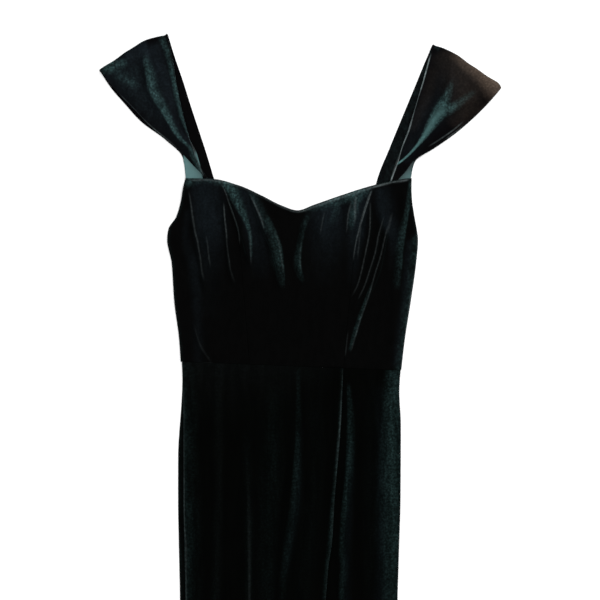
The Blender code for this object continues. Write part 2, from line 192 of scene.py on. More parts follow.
# Folds and gathers: a crest's height, how far its left and right flanks reach, and its path
# from the top down
Fold = namedtuple("Fold", "height left right path")
BODICE_FOLDS = (
    Fold(3.8, 5, 13, ((-179, 566), (-172, 510), (-166, 472), (-159, 442), (-155, 418), (-150, 385))),
    Fold(2.6, 9, 6, ((-172, 352), (-166, 330), (-157, 306), (-141, 270))),
    Fold(2.6, 8, 5, ((-151, 504), (-147, 460), (-141, 412))),
    Fold(4.4, 5, 10, ((-123, 556), (-120, 502), (-115, 466), (-112, 432), (-104, 396))),
    Fold(5.8, 5, 17, ((-119, 582), (-109, 536), (-98, 500), (-88, 470), (-79, 430))),
    Fold(6.4, 6, 20, ((-86, 570), (-72, 531), (-60, 498), (-46, 468), (-36, 436), (-30, 390))),
    Fold(4.2, 8, 14, ((12, 520), (2, 477), (-1, 447), (2, 426), (8, 398))),
    Fold(2.8, 10, 6, ((43, 540), (36, 512), (30, 476))),
    Fold(4.0, 14, 7, ((90, 570), (78, 515), (70, 474))),
    Fold(4.6, 9, 5, ((115, 572), (106, 536), (100, 512), (94, 490), (88, 462), (82, 425))),
    Fold(4.6, 9, 4, ((115, 552), (113, 501), (108, 469), (103, 442), (94, 406), (79, 366))),
    Fold(4.8, 9, 4, ((138, 534), (126, 482), (119, 451), (110, 422), (98, 394), (83, 350))),
    Fold(5.2, 8, 5, ((145, 520), (137, 483), (127, 432), (118, 408), (106, 381), (95, 349),
                     (79, 288))),
    Fold(5.4, 14, 9, ((171, 590), (166, 515), (161, 450), (155, 400), (146, 262))),
)
SKIRT_FOLDS = (
    Fold(4.4, 16, 14, ((-131, 290), (-131, 53), (-140, -400), (-146, -805))),
    Fold(6.0, 18, 14, ((-84, 150), (-81, -99), (-86, -450), (-94, -805))),
    Fold(9.0, 22, 20, ((-4, 284), (-5, 152), (-15, 8), (-29, -99), (-34, -400), (-38, -805))),
    Fold(5.6, 12, 12, ((80, 262), (82, 168), (72, 45), (66, -99), (74, -450), (80, -805))),
    Fold(6.8, 19, 17, ((138, 300), (138, 100), (136, -99), (138, -805))),
    Fold(2.4, 18, 24, ((-164, 120), (-163, -60), (-168, -330), (-171, -560))),
    Fold(2.8, 22, 16, ((-108, -190), (-112, -420), (-119, -805))),
    Fold(2.6, 20, 24, ((-46, 190), (-50, 20), (-57, -230))),
    Fold(3.2, 18, 18, ((-62, -300), (-64, -540), (-67, -805))),
    Fold(2.2, 20, 16, ((30, 230), (24, 80), (10, -120))),
    Fold(2.8, 16, 18, ((108, 200), (104, 30), (101, -170))),
    Fold(3.4, 16, 16, ((106, -240), (109, -500), (110, -805))),
)
STRAP_FOLDS = {
    "left": (
        Fold(7.4, 15, 11, ((-250, 795), (-242, 752), (-234, 711), (-214, 683), (-197, 646),
                           (-175, 624), (-158, 588))),
        Fold(4.4, 8, 6, ((-220, 800), (-206, 760), (-198, 732), (-193, 699), (-187, 675),
                         (-173, 634), (-158, 600))),
        Fold(3.4, 20, 15, ((-308, 765), (-288, 740), (-268, 706), (-240, 670))),
    ),
    "right": (
        Fold(7.6, 13, 16, ((250, 775), (236, 715), (222, 683), (208, 661), (190, 636),
                           (172, 616), (154, 596))),
        Fold(4.2, 14, 12, ((300, 742), (277, 703), (259, 694), (238, 682), (216, 668))),
        Fold(3.4, 6, 9, ((220, 790), (204, 745), (192, 705), (182, 675), (168, 640))),
    ),
}

# How folds fade towards their ends, how uneven they are along their length, and how much of them
# is kept at the waist, the neckline and the side edges
FOLD_FADE = 34.0
LONG_FADE = 0.18
SHORT_FADE = 0.35
UNEVENNESS = 0.16
UNEVEN_LENGTH = 68.0
WAIST_FADE = 18.0
WAIST_KEPT = 0.35
NECK_FADE = 22.0
NECK_KEPT = 0.45
SIDE_FADE = 12.0

# Strokes painted into the velvet's colour, each a path of marks. The four kinds, in order: painted sheen,
# the green of pile catching the light, laid along the folds, which on the facings is the share of the
# satin that is lit, the rest taking painted shade; painted soft light over a wide area (haze); painted
# highlights (gleams), fine lines along fold crests and edges; and a warm brown tint over the right
# strap's outer end.
PILES = ("nap", "haze", "gleam", "worn")
STROKE_FADE = 12.0
STROKE_LEAD = 1.0
STROKE_CORE = 0.9
# Painted sheen and painted highlight along turned edges
TURNED_PAINTED_SHEEN = 0.04
TURNED_GLEAM = 0.04
Mark = namedtuple("Mark", "x y left right amount")


def strokes(*paths):
    """Strokes from paths whose rows give a mark's place, its reach and its amount. The reach is
    one number for both sides, or two: towards -X and +X where the path is listed downwards, and
    towards the hem and the neck where it is listed across."""
    return tuple(
        tuple(Mark(row[0], row[1], row[2], row[-2], row[-1]) for row in path) for path in paths
    )


# Painted sheen: bands of green laid along the bodice's folds and gathers
BODICE_PAINTED_SHEEN = strokes(
    ((-127, 575, 7, 14, 0.26), (-114, 560, 9, 20, 0.44), (-104, 540, 7, 16, 0.42),
     (-94, 524, 7, 11, 0.36), (-86, 508, 6, 0.28), (-80, 490, 5, 3.4, 0.24), (-78, 468, 4, 2.6, 0.18),
     (-77, 444, 3, 2.4, 0.08)),
    ((-84, 558, 2, 9, 0.11), (-74, 538, 2, 14, 0.13), (-66, 520, 2, 16, 0.12), (-59, 502, 3, 18, 0.11),
     (-50, 484, 8, 16, 0.06)),
    ((-56, 520, 10, 5, 0.06), (-44, 498, 15, 4, 0.12), (-36, 480, 18, 3.4, 0.19),
     (-30, 462, 21, 2.8, 0.22), (-28, 444, 22, 2.4, 0.21), (-26, 424, 16, 2.4, 0.11),
     (-26, 398, 9, 3, 0.03)),
    ((16, 522, 6, 4, 0.06), (6, 496, 8, 5, 0.1), (1, 470, 8, 4, 0.15), (-1, 447, 11, 4, 0.17),
     (0, 430, 10, 4, 0.17), (6, 408, 6, 4, 0.05)),
    ((4, 526, 6, 4, 0.08), (22, 532, 12, 4, 0.18), (46, 540, 15, 4, 0.34), (68, 548, 17, 4, 0.42),
     (92, 556, 20, 4, 0.48), (116, 563, 13, 4, 0.26)),
    ((60, 542, 9, 0.18), (56, 520, 9, 0.1), (48, 498, 9, 0.04)),
    ((96, 552, 12, 10, 0.26), (88, 526, 12, 8, 0.24), (80, 490, 8, 5, 0.1)),
    ((178, 575, 6, 0.18), (175, 548, 6, 4, 0.24), (172, 520, 8, 3, 0.24), (167, 490, 12, 3, 0.22),
     (163, 462, 13, 3, 0.21), (160, 432, 12, 4, 0.11), (155, 396, 11, 6, 0.05)),
    ((116, 412, 2, 3, 0.04), (106, 384, 3, 4, 0.14), (95, 352, 5, 4, 0.22), (87, 326, 5, 4, 0.22),
     (79, 298, 4, 3, 0.1)),
    ((184, 490, 9, 7, 0.07), (183, 440, 14, 7, 0.14), (174, 372, 14, 7, 0.1), (166, 318, 13, 7, 0.12),
     (159, 264, 13, 7, 0.17)),
    ((-186, 569, 12, 10, 0.42), (-176, 571, 12, 10, 0.4), (-164, 573, 9, 7, 0.16),
     (-146, 573, 8, 6, 0.14), (-128, 570, 9, 6, 0.2), (-112, 565, 8, 6, 0.12)),
)
# Painted soft light over wide areas of the bodice
BODICE_HAZE = strokes(
    ((-156, 600, 34, 44, 0.15), (-152, 546, 32, 44, 0.19), (-148, 505, 30, 44, 0.19),
     (-146, 464, 34, 42, 0.09), (-146, 420, 34, 36, 0.03), (-150, 350, 30, 0.01)),
    ((-95, 566, 28, 24, 0.14), (-78, 520, 28, 0.14), (-66, 470, 28, 26, 0.09), (-60, 410, 26, 20, 0.01)),
    ((40, 566, 40, 0.22), (44, 520, 44, 48, 0.22), (44, 484, 44, 0.13), (40, 440, 40, 0.04),
     (36, 400, 36, 0.005)),
    ((98, 568, 20, 26, 0.22), (92, 500, 20, 0.22), (88, 450, 18, 14, 0.08), (84, 400, 14, 10, 0.01)),
    ((128, 566, 14, 26, 0.12), (132, 520, 14, 30, 0.16), (150, 480, 14, 16, 0.12), (148, 452, 10, 0.03),
     (146, 425, 8, 0.005)),
    ((-178, 530, 10, 12, 0.05), (-182, 480, 12, 10, 0.05), (-170, 430, 14, 0.07), (-164, 350, 14, 0.05),
     (-162, 270, 14, 0.04)),
    ((176, 480, 10, 8, 0.08), (168, 380, 12, 8, 0.08), (156, 270, 16, 8, 0.08)),
)
# Painted highlights: fine lines along the bodice's fold crests, seams and neckline
BODICE_GLEAM = strokes(
    ((-178, 557, 1.4, 0.1), (-175, 541, 1.4, 0.18), (-172, 518, 1.4, 1.6, 0.26),
     (-168, 493, 1.4, 1.6, 0.2), (-163, 472, 1.4, 1.6, 0.18), (-159, 447, 1.6, 0.15),
     (-157, 430, 1.8, 0.12), (-153, 412, 2.4, 0.08)),
    ((-169, 341, 1.6, 0.03), (-159, 309, 1.6, 0.06), (-141, 281, 2, 0.03)),
    ((-150, 486, 1.4, 0.05), (-147, 465, 1.4, 0.13), (-145, 446, 1.4, 0.12), (-142, 433, 1.6, 0.05)),
    ((-122, 538, 1.4, 0.2), (-120, 511, 1.3, 1.4, 0.38), (-118, 492, 1.3, 1.4, 0.22),
     (-116, 465, 1.3, 1.4, 0.16), (-113, 445, 1.4, 0.14), (-111, 430, 1.6, 0.08), (-104, 408, 2.2, 0.04)),
    ((-127, 570, 1.2, 1.4, 0.14), (-119, 553, 1.3, 1.4, 0.3), (-113, 536, 1.4, 0.34),
     (-107, 520, 1.8, 1.4, 0.34), (-102, 505, 1.4, 0.26), (-98, 490, 1.3, 0.2), (-96, 468, 1.3, 0.08)),
    ((-81, 552, 1.6, 1.8, 0.18), (-74, 538, 1.3, 2.2, 0.28), (-66, 520, 1.2, 2.4, 0.34),
     (-60, 505, 1.2, 2.2, 0.26), (-57, 492, 1.4, 1.6, 0.12)),
    ((-40, 492, 2, 1.4, 0.08), (-33, 470, 2, 1.3, 0.14), (-29, 446, 2, 1.2, 0.18),
     (-26, 424, 2, 1.3, 0.14)),
    ((-80, 496, 1.5, 0.12), (-79, 470, 1.5, 0.16), (-78, 436, 1.5, 0.08)),
    ((3, 478, 1.4, 0.06), (0, 452, 1.4, 0.1), (2, 426, 1.6, 1.4, 0.1)),
    ((40, 524, 1.6, 0.08), (36, 508, 1.4, 0.14), (32, 486, 1.4, 0.07)),
    ((82, 539, 1.4, 0.14), (77, 518, 1.4, 0.24), (74, 486, 1.4, 0.08)),
    ((90, 553, 2.4, 0.26), (88, 534, 2.6, 0.44), (88, 514, 2.2, 0.28), (86, 500, 1.4, 0.06)),
    ((115, 559, 1.8, 0.46), (108, 539, 2.2, 2, 0.7), (101, 517, 2.4, 2, 0.7), (95, 497, 1.5, 0.58),
     (88, 466, 1.4, 0.32), (85, 442, 1.4, 0.08)),
    ((98, 505, 1.3, 0.1), (95, 480, 1.3, 0.22), (92, 446, 1.3, 0.1)),
    ((112, 540, 1.3, 0.14), (112, 516, 1.3, 0.26), (111, 490, 1.3, 0.22), (106, 464, 1.3, 0.2),
     (94, 412, 1.3, 0.16), (82, 386, 1.5, 0.05)),
    ((134, 515, 1.3, 0.1), (125, 484, 1.3, 0.2), (120, 457, 1.3, 0.2), (112, 432, 1.3, 0.18),
     (103, 404, 1.3, 0.16), (92, 382, 1.3, 0.1)),
    ((140, 500, 1.3, 0.1), (134, 475, 1.3, 0.18), (128, 450, 1.3, 0.22), (119, 421, 1.3, 0.2),
     (109, 386, 1.3, 0.16), (97, 352, 1.5, 1.3, 0.18), (88, 322, 1.8, 1.5, 0.16), (81, 298, 1.6, 0.08)),
    ((148, 522, 2.6, 0.06), (145, 512, 2.8, 0.13), (139, 486, 2.4, 0.1)),
    ((77, 334, 1.4, 0.06), (72, 290, 1.4, 0.12)),
    ((-178, 573, 3, 1.4, 0.32), (-140, 573, 2, 1.4, 0.4), (-98, 563, 1.6, 1.4, 0.2),
     (-62, 547, 1.6, 1.4, 0.18), (-30, 531, 1.8, 1.4, 0.22), (-4, 523, 2.4, 1.4, 0.3),
     (22, 531, 3, 1.4, 0.42), (68, 547, 3.4, 1.4, 0.56), (100, 557, 3, 1.4, 0.42),
     (124, 564, 2.2, 1.4, 0.9), (145, 569, 1.8, 1.4, 0.5), (160, 571.5, 1.8, 1.4, 0.6),
     (176, 574, 1.6, 1.4, 1.2)),
    ((187, 505, 1.6, 2, 0.1), (188, 478, 1.8, 2, 0.26), (186, 440, 2, 0.36), (176, 380, 2, 0.28),
     (168, 320, 2, 0.22), (161, 266, 2, 0.22)),
    ((-160, 281, 1.2, 0.08), (-150, 281, 1.2, 0.12), (-138, 281, 1.2, 0.06)),
)
# Painted sheen along the skirt's folds, its lap and its right side
SKIRT_PAINTED_SHEEN = strokes(
    ((77, 250, 3, 5, 0.06), (78, 200, 4, 10, 0.085), (78, 150, 5, 12, 0.15), (75, 100, 5, 12, 0.12),
     (69, 45, 5, 12, 0.1), (65, -10, 5, 12, 0.06), (68, -56, 5, 11, 0.085), (65, -99, 5, 11, 0.07),
     (69, -450, 6, 12, 0.08), (77, -815, 6, 12, 0.08)),
    ((69, 262, 3, 0.02), (65, 189, 4, 3, 0.1), (61, 141, 5, 3, 0.07), (55, 61, 8, 3, 0.1),
     (49, -19, 9, 3, 0.09), (42, -83, 9, 3, 0.035), (28, -400, 8, 3, 0.06), (19, -815, 8, 3, 0.06)),
    ((-3, 276, 4, 5, 0.02), (-3, 210, 5, 7, 0.04), (-4, 160, 5, 10, 0.05), (-8, 112, 5, 13, 0.055),
     (-11, 60, 7, 14, 0.05), (-17, 10, 9, 12, 0.045), (-24, -40, 9, 10, 0.04), (-29, -99, 7, 9, 0.03),
     (-34, -400, 11, 13, 0.04), (-38, -815, 11, 13, 0.04)),
    ((151, 274, 20, 14, 0.15), (151, 200, 26, 14, 0.2), (151, 110, 30, 14, 0.21), (150, 10, 28, 14, 0.19),
     (149, -60, 24, 14, 0.14), (148, -99, 22, 14, 0.15), (148, -400, 25, 14, 0.16),
     (150, -815, 25, 14, 0.16)),
    ((-84, 190, 12, 10, 0.003), (-82, 60, 13, 10, 0.016), (-81, -99, 9, 10, 0.022),
     (-86, -450, 12, 14, 0.022), (-94, -815, 12, 14, 0.022)),
    ((-131, 290, 9, 0.004), (-131, 53, 10, 11, 0.008), (-138, -200, 11, 12, 0.012),
     (-146, -815, 11, 12, 0.012)),
    ((-187, 285, 6, 30, 0.025), (-187, 100, 6, 34, 0.045), (-184, -99, 6, 34, 0.055),
     (-190, -815, 6, 34, 0.055)),
    ((112, 270, 18, 26, 0.003), (116, 120, 20, 26, 0.007), (114, -99, 20, 26, 0.007),
     (118, -815, 20, 26, 0.007)),
    ((24, 270, 20, 0.004), (26, 100, 22, 24, 0.008), (6, -99, 22, 24, 0.008), (-6, -815, 22, 24, 0.008)),
    ((-40, 250, 26, 0.006), (-46, 100, 30, 26, 0.02), (-54, -99, 26, 22, 0.018),
     (-62, -815, 28, 24, 0.018)),
)
# Painted highlights along the skirt's edges, folds, lap edge and waist seam
SKIRT_GLEAM = strokes(
    ((-186, 240, 1.3, 0.06), (-186, 141, 1.3, 0.2), (-185, 29, 1.3, 0.22), (-182, -99, 1.3, 0.16),
     (-186, -815, 1.3, 0.14)),
    ((-84, 130, 3, 4, 0.008), (-82, 20, 3, 5, 0.03), (-81, -99, 2.4, 3, 0.065), (-86, -450, 2.4, 3, 0.06),
     (-94, -815, 2.4, 3, 0.06)),
    ((-131, 290, 10, 12, 0.004), (-131, 53, 10, 12, 0.007), (-140, -400, 10, 14, 0.007),
     (-146, -815, 10, 14, 0.007)),
    ((69, 272, 2.4, 2, 0.05), (67, 235, 2.4, 2, 0.06), (65, 189, 2.4, 2, 0.2), (61, 141, 3, 2, 0.08),
     (55, 61, 4, 2, 0.04), (49, -19, 4, 2, 0.025), (42, -83, 4, 2, 0.015), (28, -400, 4, 2, 0.03),
     (19, -815, 4, 2, 0.03)),
    ((56, 267.5, 1.2, 0.06), (74, 267, 1.2, 0.14), (97, 266, 1.2, 0.1), (124, 265, 1.2, 0.05)),
    # A wide, faint painted light over the top of the skirt, in the highlights' grey
    ((-200, 300, 110, 40, 0.016), (-100, 298, 130, 40, 0.014), (0, 296, 90, 40, 0.012),
     (60, 294, 60, 40, 0.006)),
)
# Painted soft light over the top of the skirt and along its folds
SKIRT_HAZE = strokes(
    ((-200, 292, 60, 0.012), (-100, 288, 60, 50, 0.008), (0, 284, 50, 40, 0.008),
     (60, 282, 40, 30, 0.004)),
    ((-2, 180, 8, 10, 0.02), (-4, 110, 8, 14, 0.03), (-8, 40, 10, 14, 0.04), (-18, -20, 10, 12, 0.03),
     (-28, -80, 8, 10, 0.01)),
    ((82, 160, 6, 12, 0.02), (78, 60, 8, 12, 0.05), (74, -60, 8, 12, 0.05), (76, -300, 8, 14, 0.05),
     (84, -815, 8, 14, 0.05)),
    ((126, 250, 10, 20, 0.02), (130, 100, 12, 20, 0.06), (128, -60, 12, 20, 0.05),
     (130, -815, 12, 20, 0.05)),
)
# Painted sheen along the straps' folds
STRAP_PAINTED_SHEEN = {
    "left": strokes(
        ((-250, 778, 4, 6, 0.1), (-246, 757, 5, 14, 0.38), (-243, 738, 5, 17, 0.5),
         (-238, 718, 6, 17, 0.52), (-231, 701, 5, 17, 0.6), (-221, 685, 4, 15, 0.62),
         (-210, 667, 4, 11, 0.6), (-200, 650, 4, 8, 0.58), (-190, 637, 3, 5, 0.54),
         (-178, 627, 3, 3.4, 0.5), (-170, 615, 8, 3.4, 0.5), (-163, 596, 6, 3, 0.42),
         (-154, 578, 3, 0.46)),
        ((-222, 806, 9, 8, 0.2), (-215, 788, 8, 6, 0.4), (-209, 765, 6, 0.44), (-203, 736, 5, 0.52),
         (-195, 701, 6, 4, 0.52), (-188, 672, 5, 3.4, 0.56), (-180, 651, 3, 2.4, 0.34),
         (-175, 637, 2.4, 0.28)),
        ((-319, 744, 9, 0.34), (-304, 752, 13, 12, 0.46), (-288, 758, 12, 11, 0.34), (-272, 765, 8, 0.1)),
        ((-300, 742, 12, 0.12), (-284, 738, 14, 0.13), (-268, 728, 11, 0.17), (-258, 718, 7, 0.04)),
        ((-270, 760, 40, 30, 0.03), (-250, 700, 34, 30, 0.02), (-220, 660, 20, 0.01)),
    ),
    "right": strokes(
        ((243, 734, 5, 0.1), (238, 716, 8, 0.3), (231, 700, 12, 0.56), (223, 684, 13.5, 15, 1.05),
         (214, 669, 11.5, 12.5, 1.55), (205, 654, 8.5, 1.7), (196, 640, 5.4, 1.65), (186, 627, 3.4, 1.8),
         (172, 612, 2.2, 2.3), (160, 602, 1.9, 2.6), (152, 596, 1.8, 2.4)),
        ((282, 717, 6, 0.08), (263, 703, 8, 0.22), (249, 692, 10, 0.38), (233, 682, 10, 0.5),
         (221, 672, 7, 0.25)),
        ((186, 592, 8, 0.12), (166, 580, 8, 0.12)),
        ((214, 788, 6, 8, 0.14), (224, 782, 6, 0.06)),
    ),
}
# Painted soft light over the straps
STRAP_HAZE = {
    "left": strokes(
        ((-300, 760, 60, 50, 0.17), (-240, 705, 50, 60, 0.17), (-195, 655, 34, 0.16),
         (-165, 610, 20, 0.13)),
        ((-290, 766, 20, 0.02), (-266, 776, 34, 24, 0.2), (-238, 784, 40, 26, 0.3)),
        ((-236, 796, 24, 0.16), (-222, 750, 22, 0.22), (-210, 718, 16, 0.17), (-196, 680, 10, 0.08)),
    ),
    "right": strokes(
        ((262, 770, 70, 60, 0.05), (236, 715, 60, 0.08), (190, 650, 30, 0.09), (160, 600, 24, 0.09)),
        ((205, 716, 14, 16, 0.02), (192, 684, 12, 14, 0.04), (176, 648, 10, 0.04)),
    ),
}
# Painted highlights along the straps' inner edges and folds
STRAP_GLEAM = {
    "left": strokes(
        ((-181, 660, 1.4, 0.2), (-176, 640, 1.3, 0.42), (-171, 626, 1.3, 0.4), (-166, 610, 1.6, 1.3, 0.4),
         (-159, 592, 1.6, 1.3, 0.36), (-153, 578, 1.6, 1.3, 0.45)),
        ((-292, 712, 1.6, 0.1), (-283, 704, 1.6, 0.5), (-265, 686, 1.6, 0.36), (-250, 670, 1.6, 0.24),
         (-230, 652, 1.6, 0.42), (-205, 632, 1.6, 0.16), (-184, 610, 1.6, 0.05)),
    ),
    "right": strokes(
        ((210, 776, 1.2, 0.9), (205, 762, 1.4, 1.3, 2.2), (197, 733, 2.0, 1.8, 2.6),
         (190, 712, 2.2, 2.0, 2.3), (182, 685, 2.0, 1.8, 2.0), (174, 653, 1.4, 1.5), (163, 626, 1.4, 1.3),
         (156, 602, 1.4, 1.35), (151, 588, 1.4, 1.45), (146, 574, 1.4, 1.5), (143, 566, 1.4, 1.1)),
        ((262, 668, 1.4, 0.2), (246, 654, 1.4, 0.46), (226, 640, 1.4, 0.4), (204, 626, 1.4, 0.16)),
        ((266, 664, 1.3, 0.14), (250, 651, 1.3, 0.34), (230, 637, 1.3, 0.3)),
    ),
}
# A warm brown tint over the right strap's outer end, and a faint one along its middle
STRAP_BROWN_TINT = {
    "left": (),
    "right": strokes(
        ((236, 790, 50, 30, 0.09), (262, 742, 56, 50, 0.14), (268, 690, 50, 30, 0.12),
         (240, 655, 20, 0.05)),
        ((320, 700, 10, 34, 0.14), (300, 690, 10, 30, 0.12), (280, 676, 8, 20, 0.05)),
        ((214, 756, 12, 14, 0.04), (205, 716, 14, 16, 0.06), (192, 684, 12, 14, 0.05),
         (176, 648, 10, 0.03)),
        ((238, 780, 12, 8, 0.08), (262, 764, 18, 8, 0.55), (288, 748, 24, 8, 0.85),
         (310, 736, 38, 8, 1.15), (328, 724, 42, 12, 1.1), (344, 712, 44, 16, 1.0)),
    ),
}
# How lit each facing is: the right facing gets painted shade where it turns under the strap
FACING_PAINTED_LIGHT = {
    "left": strokes(
        ((-187, 620, 60, 0.95), (-180, 560, 60, 0.95)),
    ),
    "right": strokes(
        ((184, 620, 20, 14, 0.08), (182, 596, 22, 14, 0.18), (180, 584, 26, 14, 0.46),
         (179, 574, 34, 14, 0.8), (178, 556, 34, 14, 0.85)),
    ),
}
# The strokes on each front panel. Along the lap, the first stroke of painted sheen is the right front's
# and the second the left front's, and the last two strokes of painted soft light lie past the lap.
BODICE_STROKES = {"nap": BODICE_PAINTED_SHEEN, "haze": BODICE_HAZE, "gleam": BODICE_GLEAM}
PANEL_STROKES = {
    "bodice_front_center": BODICE_STROKES,
    "bodice_side_front_left": BODICE_STROKES,
    "bodice_side_front_right": BODICE_STROKES,
    "skirt_front_left": {"nap": SKIRT_PAINTED_SHEEN[1:], "haze": SKIRT_HAZE[:2], "gleam": SKIRT_GLEAM},
    "skirt_front_right": {"nap": SKIRT_PAINTED_SHEEN[:1] + SKIRT_PAINTED_SHEEN[2:], "haze": SKIRT_HAZE},
}
STRAP_STROKES = {"nap": STRAP_PAINTED_SHEEN, "haze": STRAP_HAZE, "gleam": STRAP_GLEAM, "worn": STRAP_BROWN_TINT}

# Straps: stations from the front root to the shoulder, then from the shoulder to the back root
Station = namedtuple("Station", "outer_x outer_y inner_x inner_y")
STRAPS = {
    "left": {
        "front": (
            Station(-154.0, 566, -146.0, 566),
            Station(-154.0, 577, -148.5, 577),
            Station(-172.0, 598, -160.0, 596),
            Station(-195.0, 622, -168.5, 617),
            Station(-219.0, 642, -177.5, 643),
            Station(-243.0, 663, -184.0, 667),
            Station(-266.0, 688, -191.0, 696),
            Station(-288.0, 710.5, -197.5, 729),
            Station(-307.0, 732.5, -203.0, 764),
            Station(-321.5, 750.5, -211.0, 805),
        ),
        "back": (
            Station(-321.5, 750.5, -211.0, 805),
            Station(-303.0, 722.5, -199.6, 768),
            Station(-280.6, 696.2, -188.2, 735),
            Station(-254.0, 667, -174.0, 690),
            Station(-214.6, 637.4, -160.8, 650),
            Station(-187.5, 609, -149.7, 616),
            Station(-183.0, 577, -138.3, 578),
            Station(-181.0, 509.3, -118.0, 509.3),
        ),
        "bulge": 8.6,
        "skew": 1.7,
        "outer_round": 1.2,
        "inner_peak": 3.4,
        # Painted sheen on the face of the strap's back half
        "back_painted_sheen": 0.0,
    },
    "right": {
        "front": (
            Station(160.0, 562, 147.0, 562),
            Station(157.0, 572, 144.5, 572),
            Station(170.0, 588, 150.5, 589),
            Station(180.0, 602, 155.5, 601),
            Station(196.2, 613.5, 162.0, 624),
            Station(217.4, 627, 169.5, 645),
            Station(249.2, 649.8, 179.0, 673),
            Station(279.2, 676.5, 190.0, 709),
            Station(305.6, 703.2, 202.0, 752),
            Station(324.0, 725, 211.5, 789),
        ),
        "back": (
            Station(324.0, 725, 211.5, 789),
            Station(304.6, 701.4, 198.0, 757),
            Station(279.6, 675.4, 184.4, 724),
            Station(248.2, 648.0, 171.2, 692),
            Station(216.3, 625.3, 157.9, 660),
            Station(184.0, 603, 140.7, 618),
            Station(177.5, 577, 126.0, 582),
            Station(171.0, 509.3, 108.0, 509.3),
        ),
        "bulge": 6.0,
        "skew": 2.2,
        "outer_round": 4.4,
        "inner_peak": 2.0,
        "back_painted_sheen": 0.045,
    },
}

# Facings: the share of a strap's back half that they run along, where they come out from under
# the strap's inner edge, and how far across they reach
FACING_SPAN = (0.60, 0.925)
FACING_SHOWN = 0.74
FACING_TUCK = 0.30
FACING_SHARE = 0.62
FACING_ROWS = 40
FACING_COLUMNS = 30
FACING_ROUND = 1.5
FACING_DROP = 0.6

# Finishes: how far a pile's patches are drawn out along the gown, the painted shade of the satin where it
# turns away inside the strap, how much darker the table's clouds are, and how fast a wave texture's phase
# runs at a scale of 1
PILE_RUN = {"bodice": 0.45, "skirt": 0.16, "strap": 0.6}
LINING_PAINTED_SHADE = 0.04
TABLE_SHADE = 0.99
WAVE_RATE = 20.0

# A record of how a piece was cut: width, length and area in metres, and what it lies on
Cut = namedtuple("Cut", "width length area rests_on")

# Stage, in metres; the camera's sensor is in millimetres
TABLE_SIZE = 8.0
TABLE_Z = -0.0003
SENSOR_WIDTH = 36.0
CAMERA_PLACE = (0.0, 0.3816, 3.0)
GOWN_MIDDLE = Vector((0.0, 0.35, 0.0))
KEY_PLACE = (1.1, 2.1, 1.0)
KEY_SIZE = 0.9
TOP_PLACE = (0.0, 0.35, 3.6)
TOP_SIZE = 2.6


# ----------------------------------------------------------------- settings

def colour_setting(name, description, default):
    """A colour that the panel offers."""
    return FloatVectorProperty(name=name, description=description, default=default,
                               min=0.0, max=1.0, size=3, subtype="COLOR")


def length_setting(name, description, default, low, high):
    """A length that the panel offers."""
    return FloatProperty(name=name, description=description, default=default,
                         min=low, max=high, unit="LENGTH")


def plain_setting(name, description, default, low, high):
    """A plain number that the panel offers."""
    return FloatProperty(name=name, description=description, default=default,
                         min=low, max=high)


class GownClothSettings(bpy.types.PropertyGroup):
    """How the gown's cloth lies."""

    fold_depth: FloatProperty(
        name="Fold depth",
        description="Depth of the folds, as a share of those laid by hand",
        default=1.0, min=0.0, max=1.3, subtype="FACTOR",
    )
    spacing: length_setting(
        "Mesh spacing", "Distance between the points of a panel across the gown",
        0.0011, 0.001, 0.01,
    )


class GownVelvetSettings(bpy.types.PropertyGroup):
    """Colours and grain of the velvet, with the colours of its painted sheen, soft light and highlights
    and of its brown tint.
    """

    # One velvet's deep colour, set per part: the straps' lighter and the skirt's darker, greener colour
    # are painted light and shade
    bodice_colour: colour_setting(
        "Bodice", "Colour deep in the pile of the bodice", (0.0013, 0.0013, 0.0013))
    skirt_colour: colour_setting(
        "Skirt", "Colour deep in the pile of the skirt", (0.0008, 0.0009, 0.0008))
    strap_colour: colour_setting(
        "Straps", "Colour deep in the pile of the straps", (0.0017, 0.0016, 0.0018))
    # Colours of the painted sheen, the painted soft light and the painted highlights
    nap_colour: colour_setting(
        "Open pile", "Colour of pile that is brushed open", (0.0195, 0.043, 0.0425))
    haze_colour: colour_setting(
        "Hazy pile", "Colour of pile that is lit softly, over a wide area",
        (0.0115, 0.0190, 0.0245))
    gleam_colour: colour_setting(
        "Pile on edge", "Colour of pile that is seen on edge, at a crest",
        (0.048, 0.058, 0.059))
    # A warm brown tint, laid over the right strap's outer end
    worn_colour: colour_setting(
        "Worn pile", "Colour of pile that is rubbed at an edge", (0.049, 0.036, 0.027))
    grain: length_setting(
        "Pile grain", "Size of the tufts that the pile falls into", 0.0034, 0.0005, 0.01)


class GownLiningSettings(bpy.types.PropertyGroup):
    """Colour of the pale facings."""

    colour: colour_setting("Lining", "Colour of the satin facing", (0.058, 0.128, 0.130))
    thread: length_setting("Thread", "Width of the satin's threads", 0.0006, 0.0001, 0.004)


class GownStageSettings(bpy.types.PropertyGroup):
    """Table, light and camera."""

    table_colour: colour_setting("Table", "Colour of the table top", (0.93, 0.93, 0.93))
    room_light: plain_setting(
        "Room light", "Strength of the soft light from all round", 0.85, 0.0, 4.0)
    key_power: plain_setting(
        "Key light", "Power of the low key light, in watts", 30.0, 0.0, 500.0)
    top_power: plain_setting(
        "Top light", "Power of the soft box overhead, in watts", 60.0, 0.0, 500.0)
    lens: plain_setting(
        "Lens", "Focal length of the camera, in millimetres", 112.5, 20.0, 300.0)


# ------------------------------------------------------------ working shapes

def ease(share):
    """Rise from 0 to 1 with level ends."""
    share = np.clip(share, 0.0, 1.0)
    return share * share * (3.0 - 2.0 * share)


def between(start, end, share):
    """Value at a share of the way from start to end."""
    return start + (end - start) * share


def crest(share):
    """Rounded ridge, 1 at its crest and 0 from 1 away."""
    return 0.5 * (1.0 + np.cos(np.pi * np.clip(np.abs(share), 0.0, 1.0)))


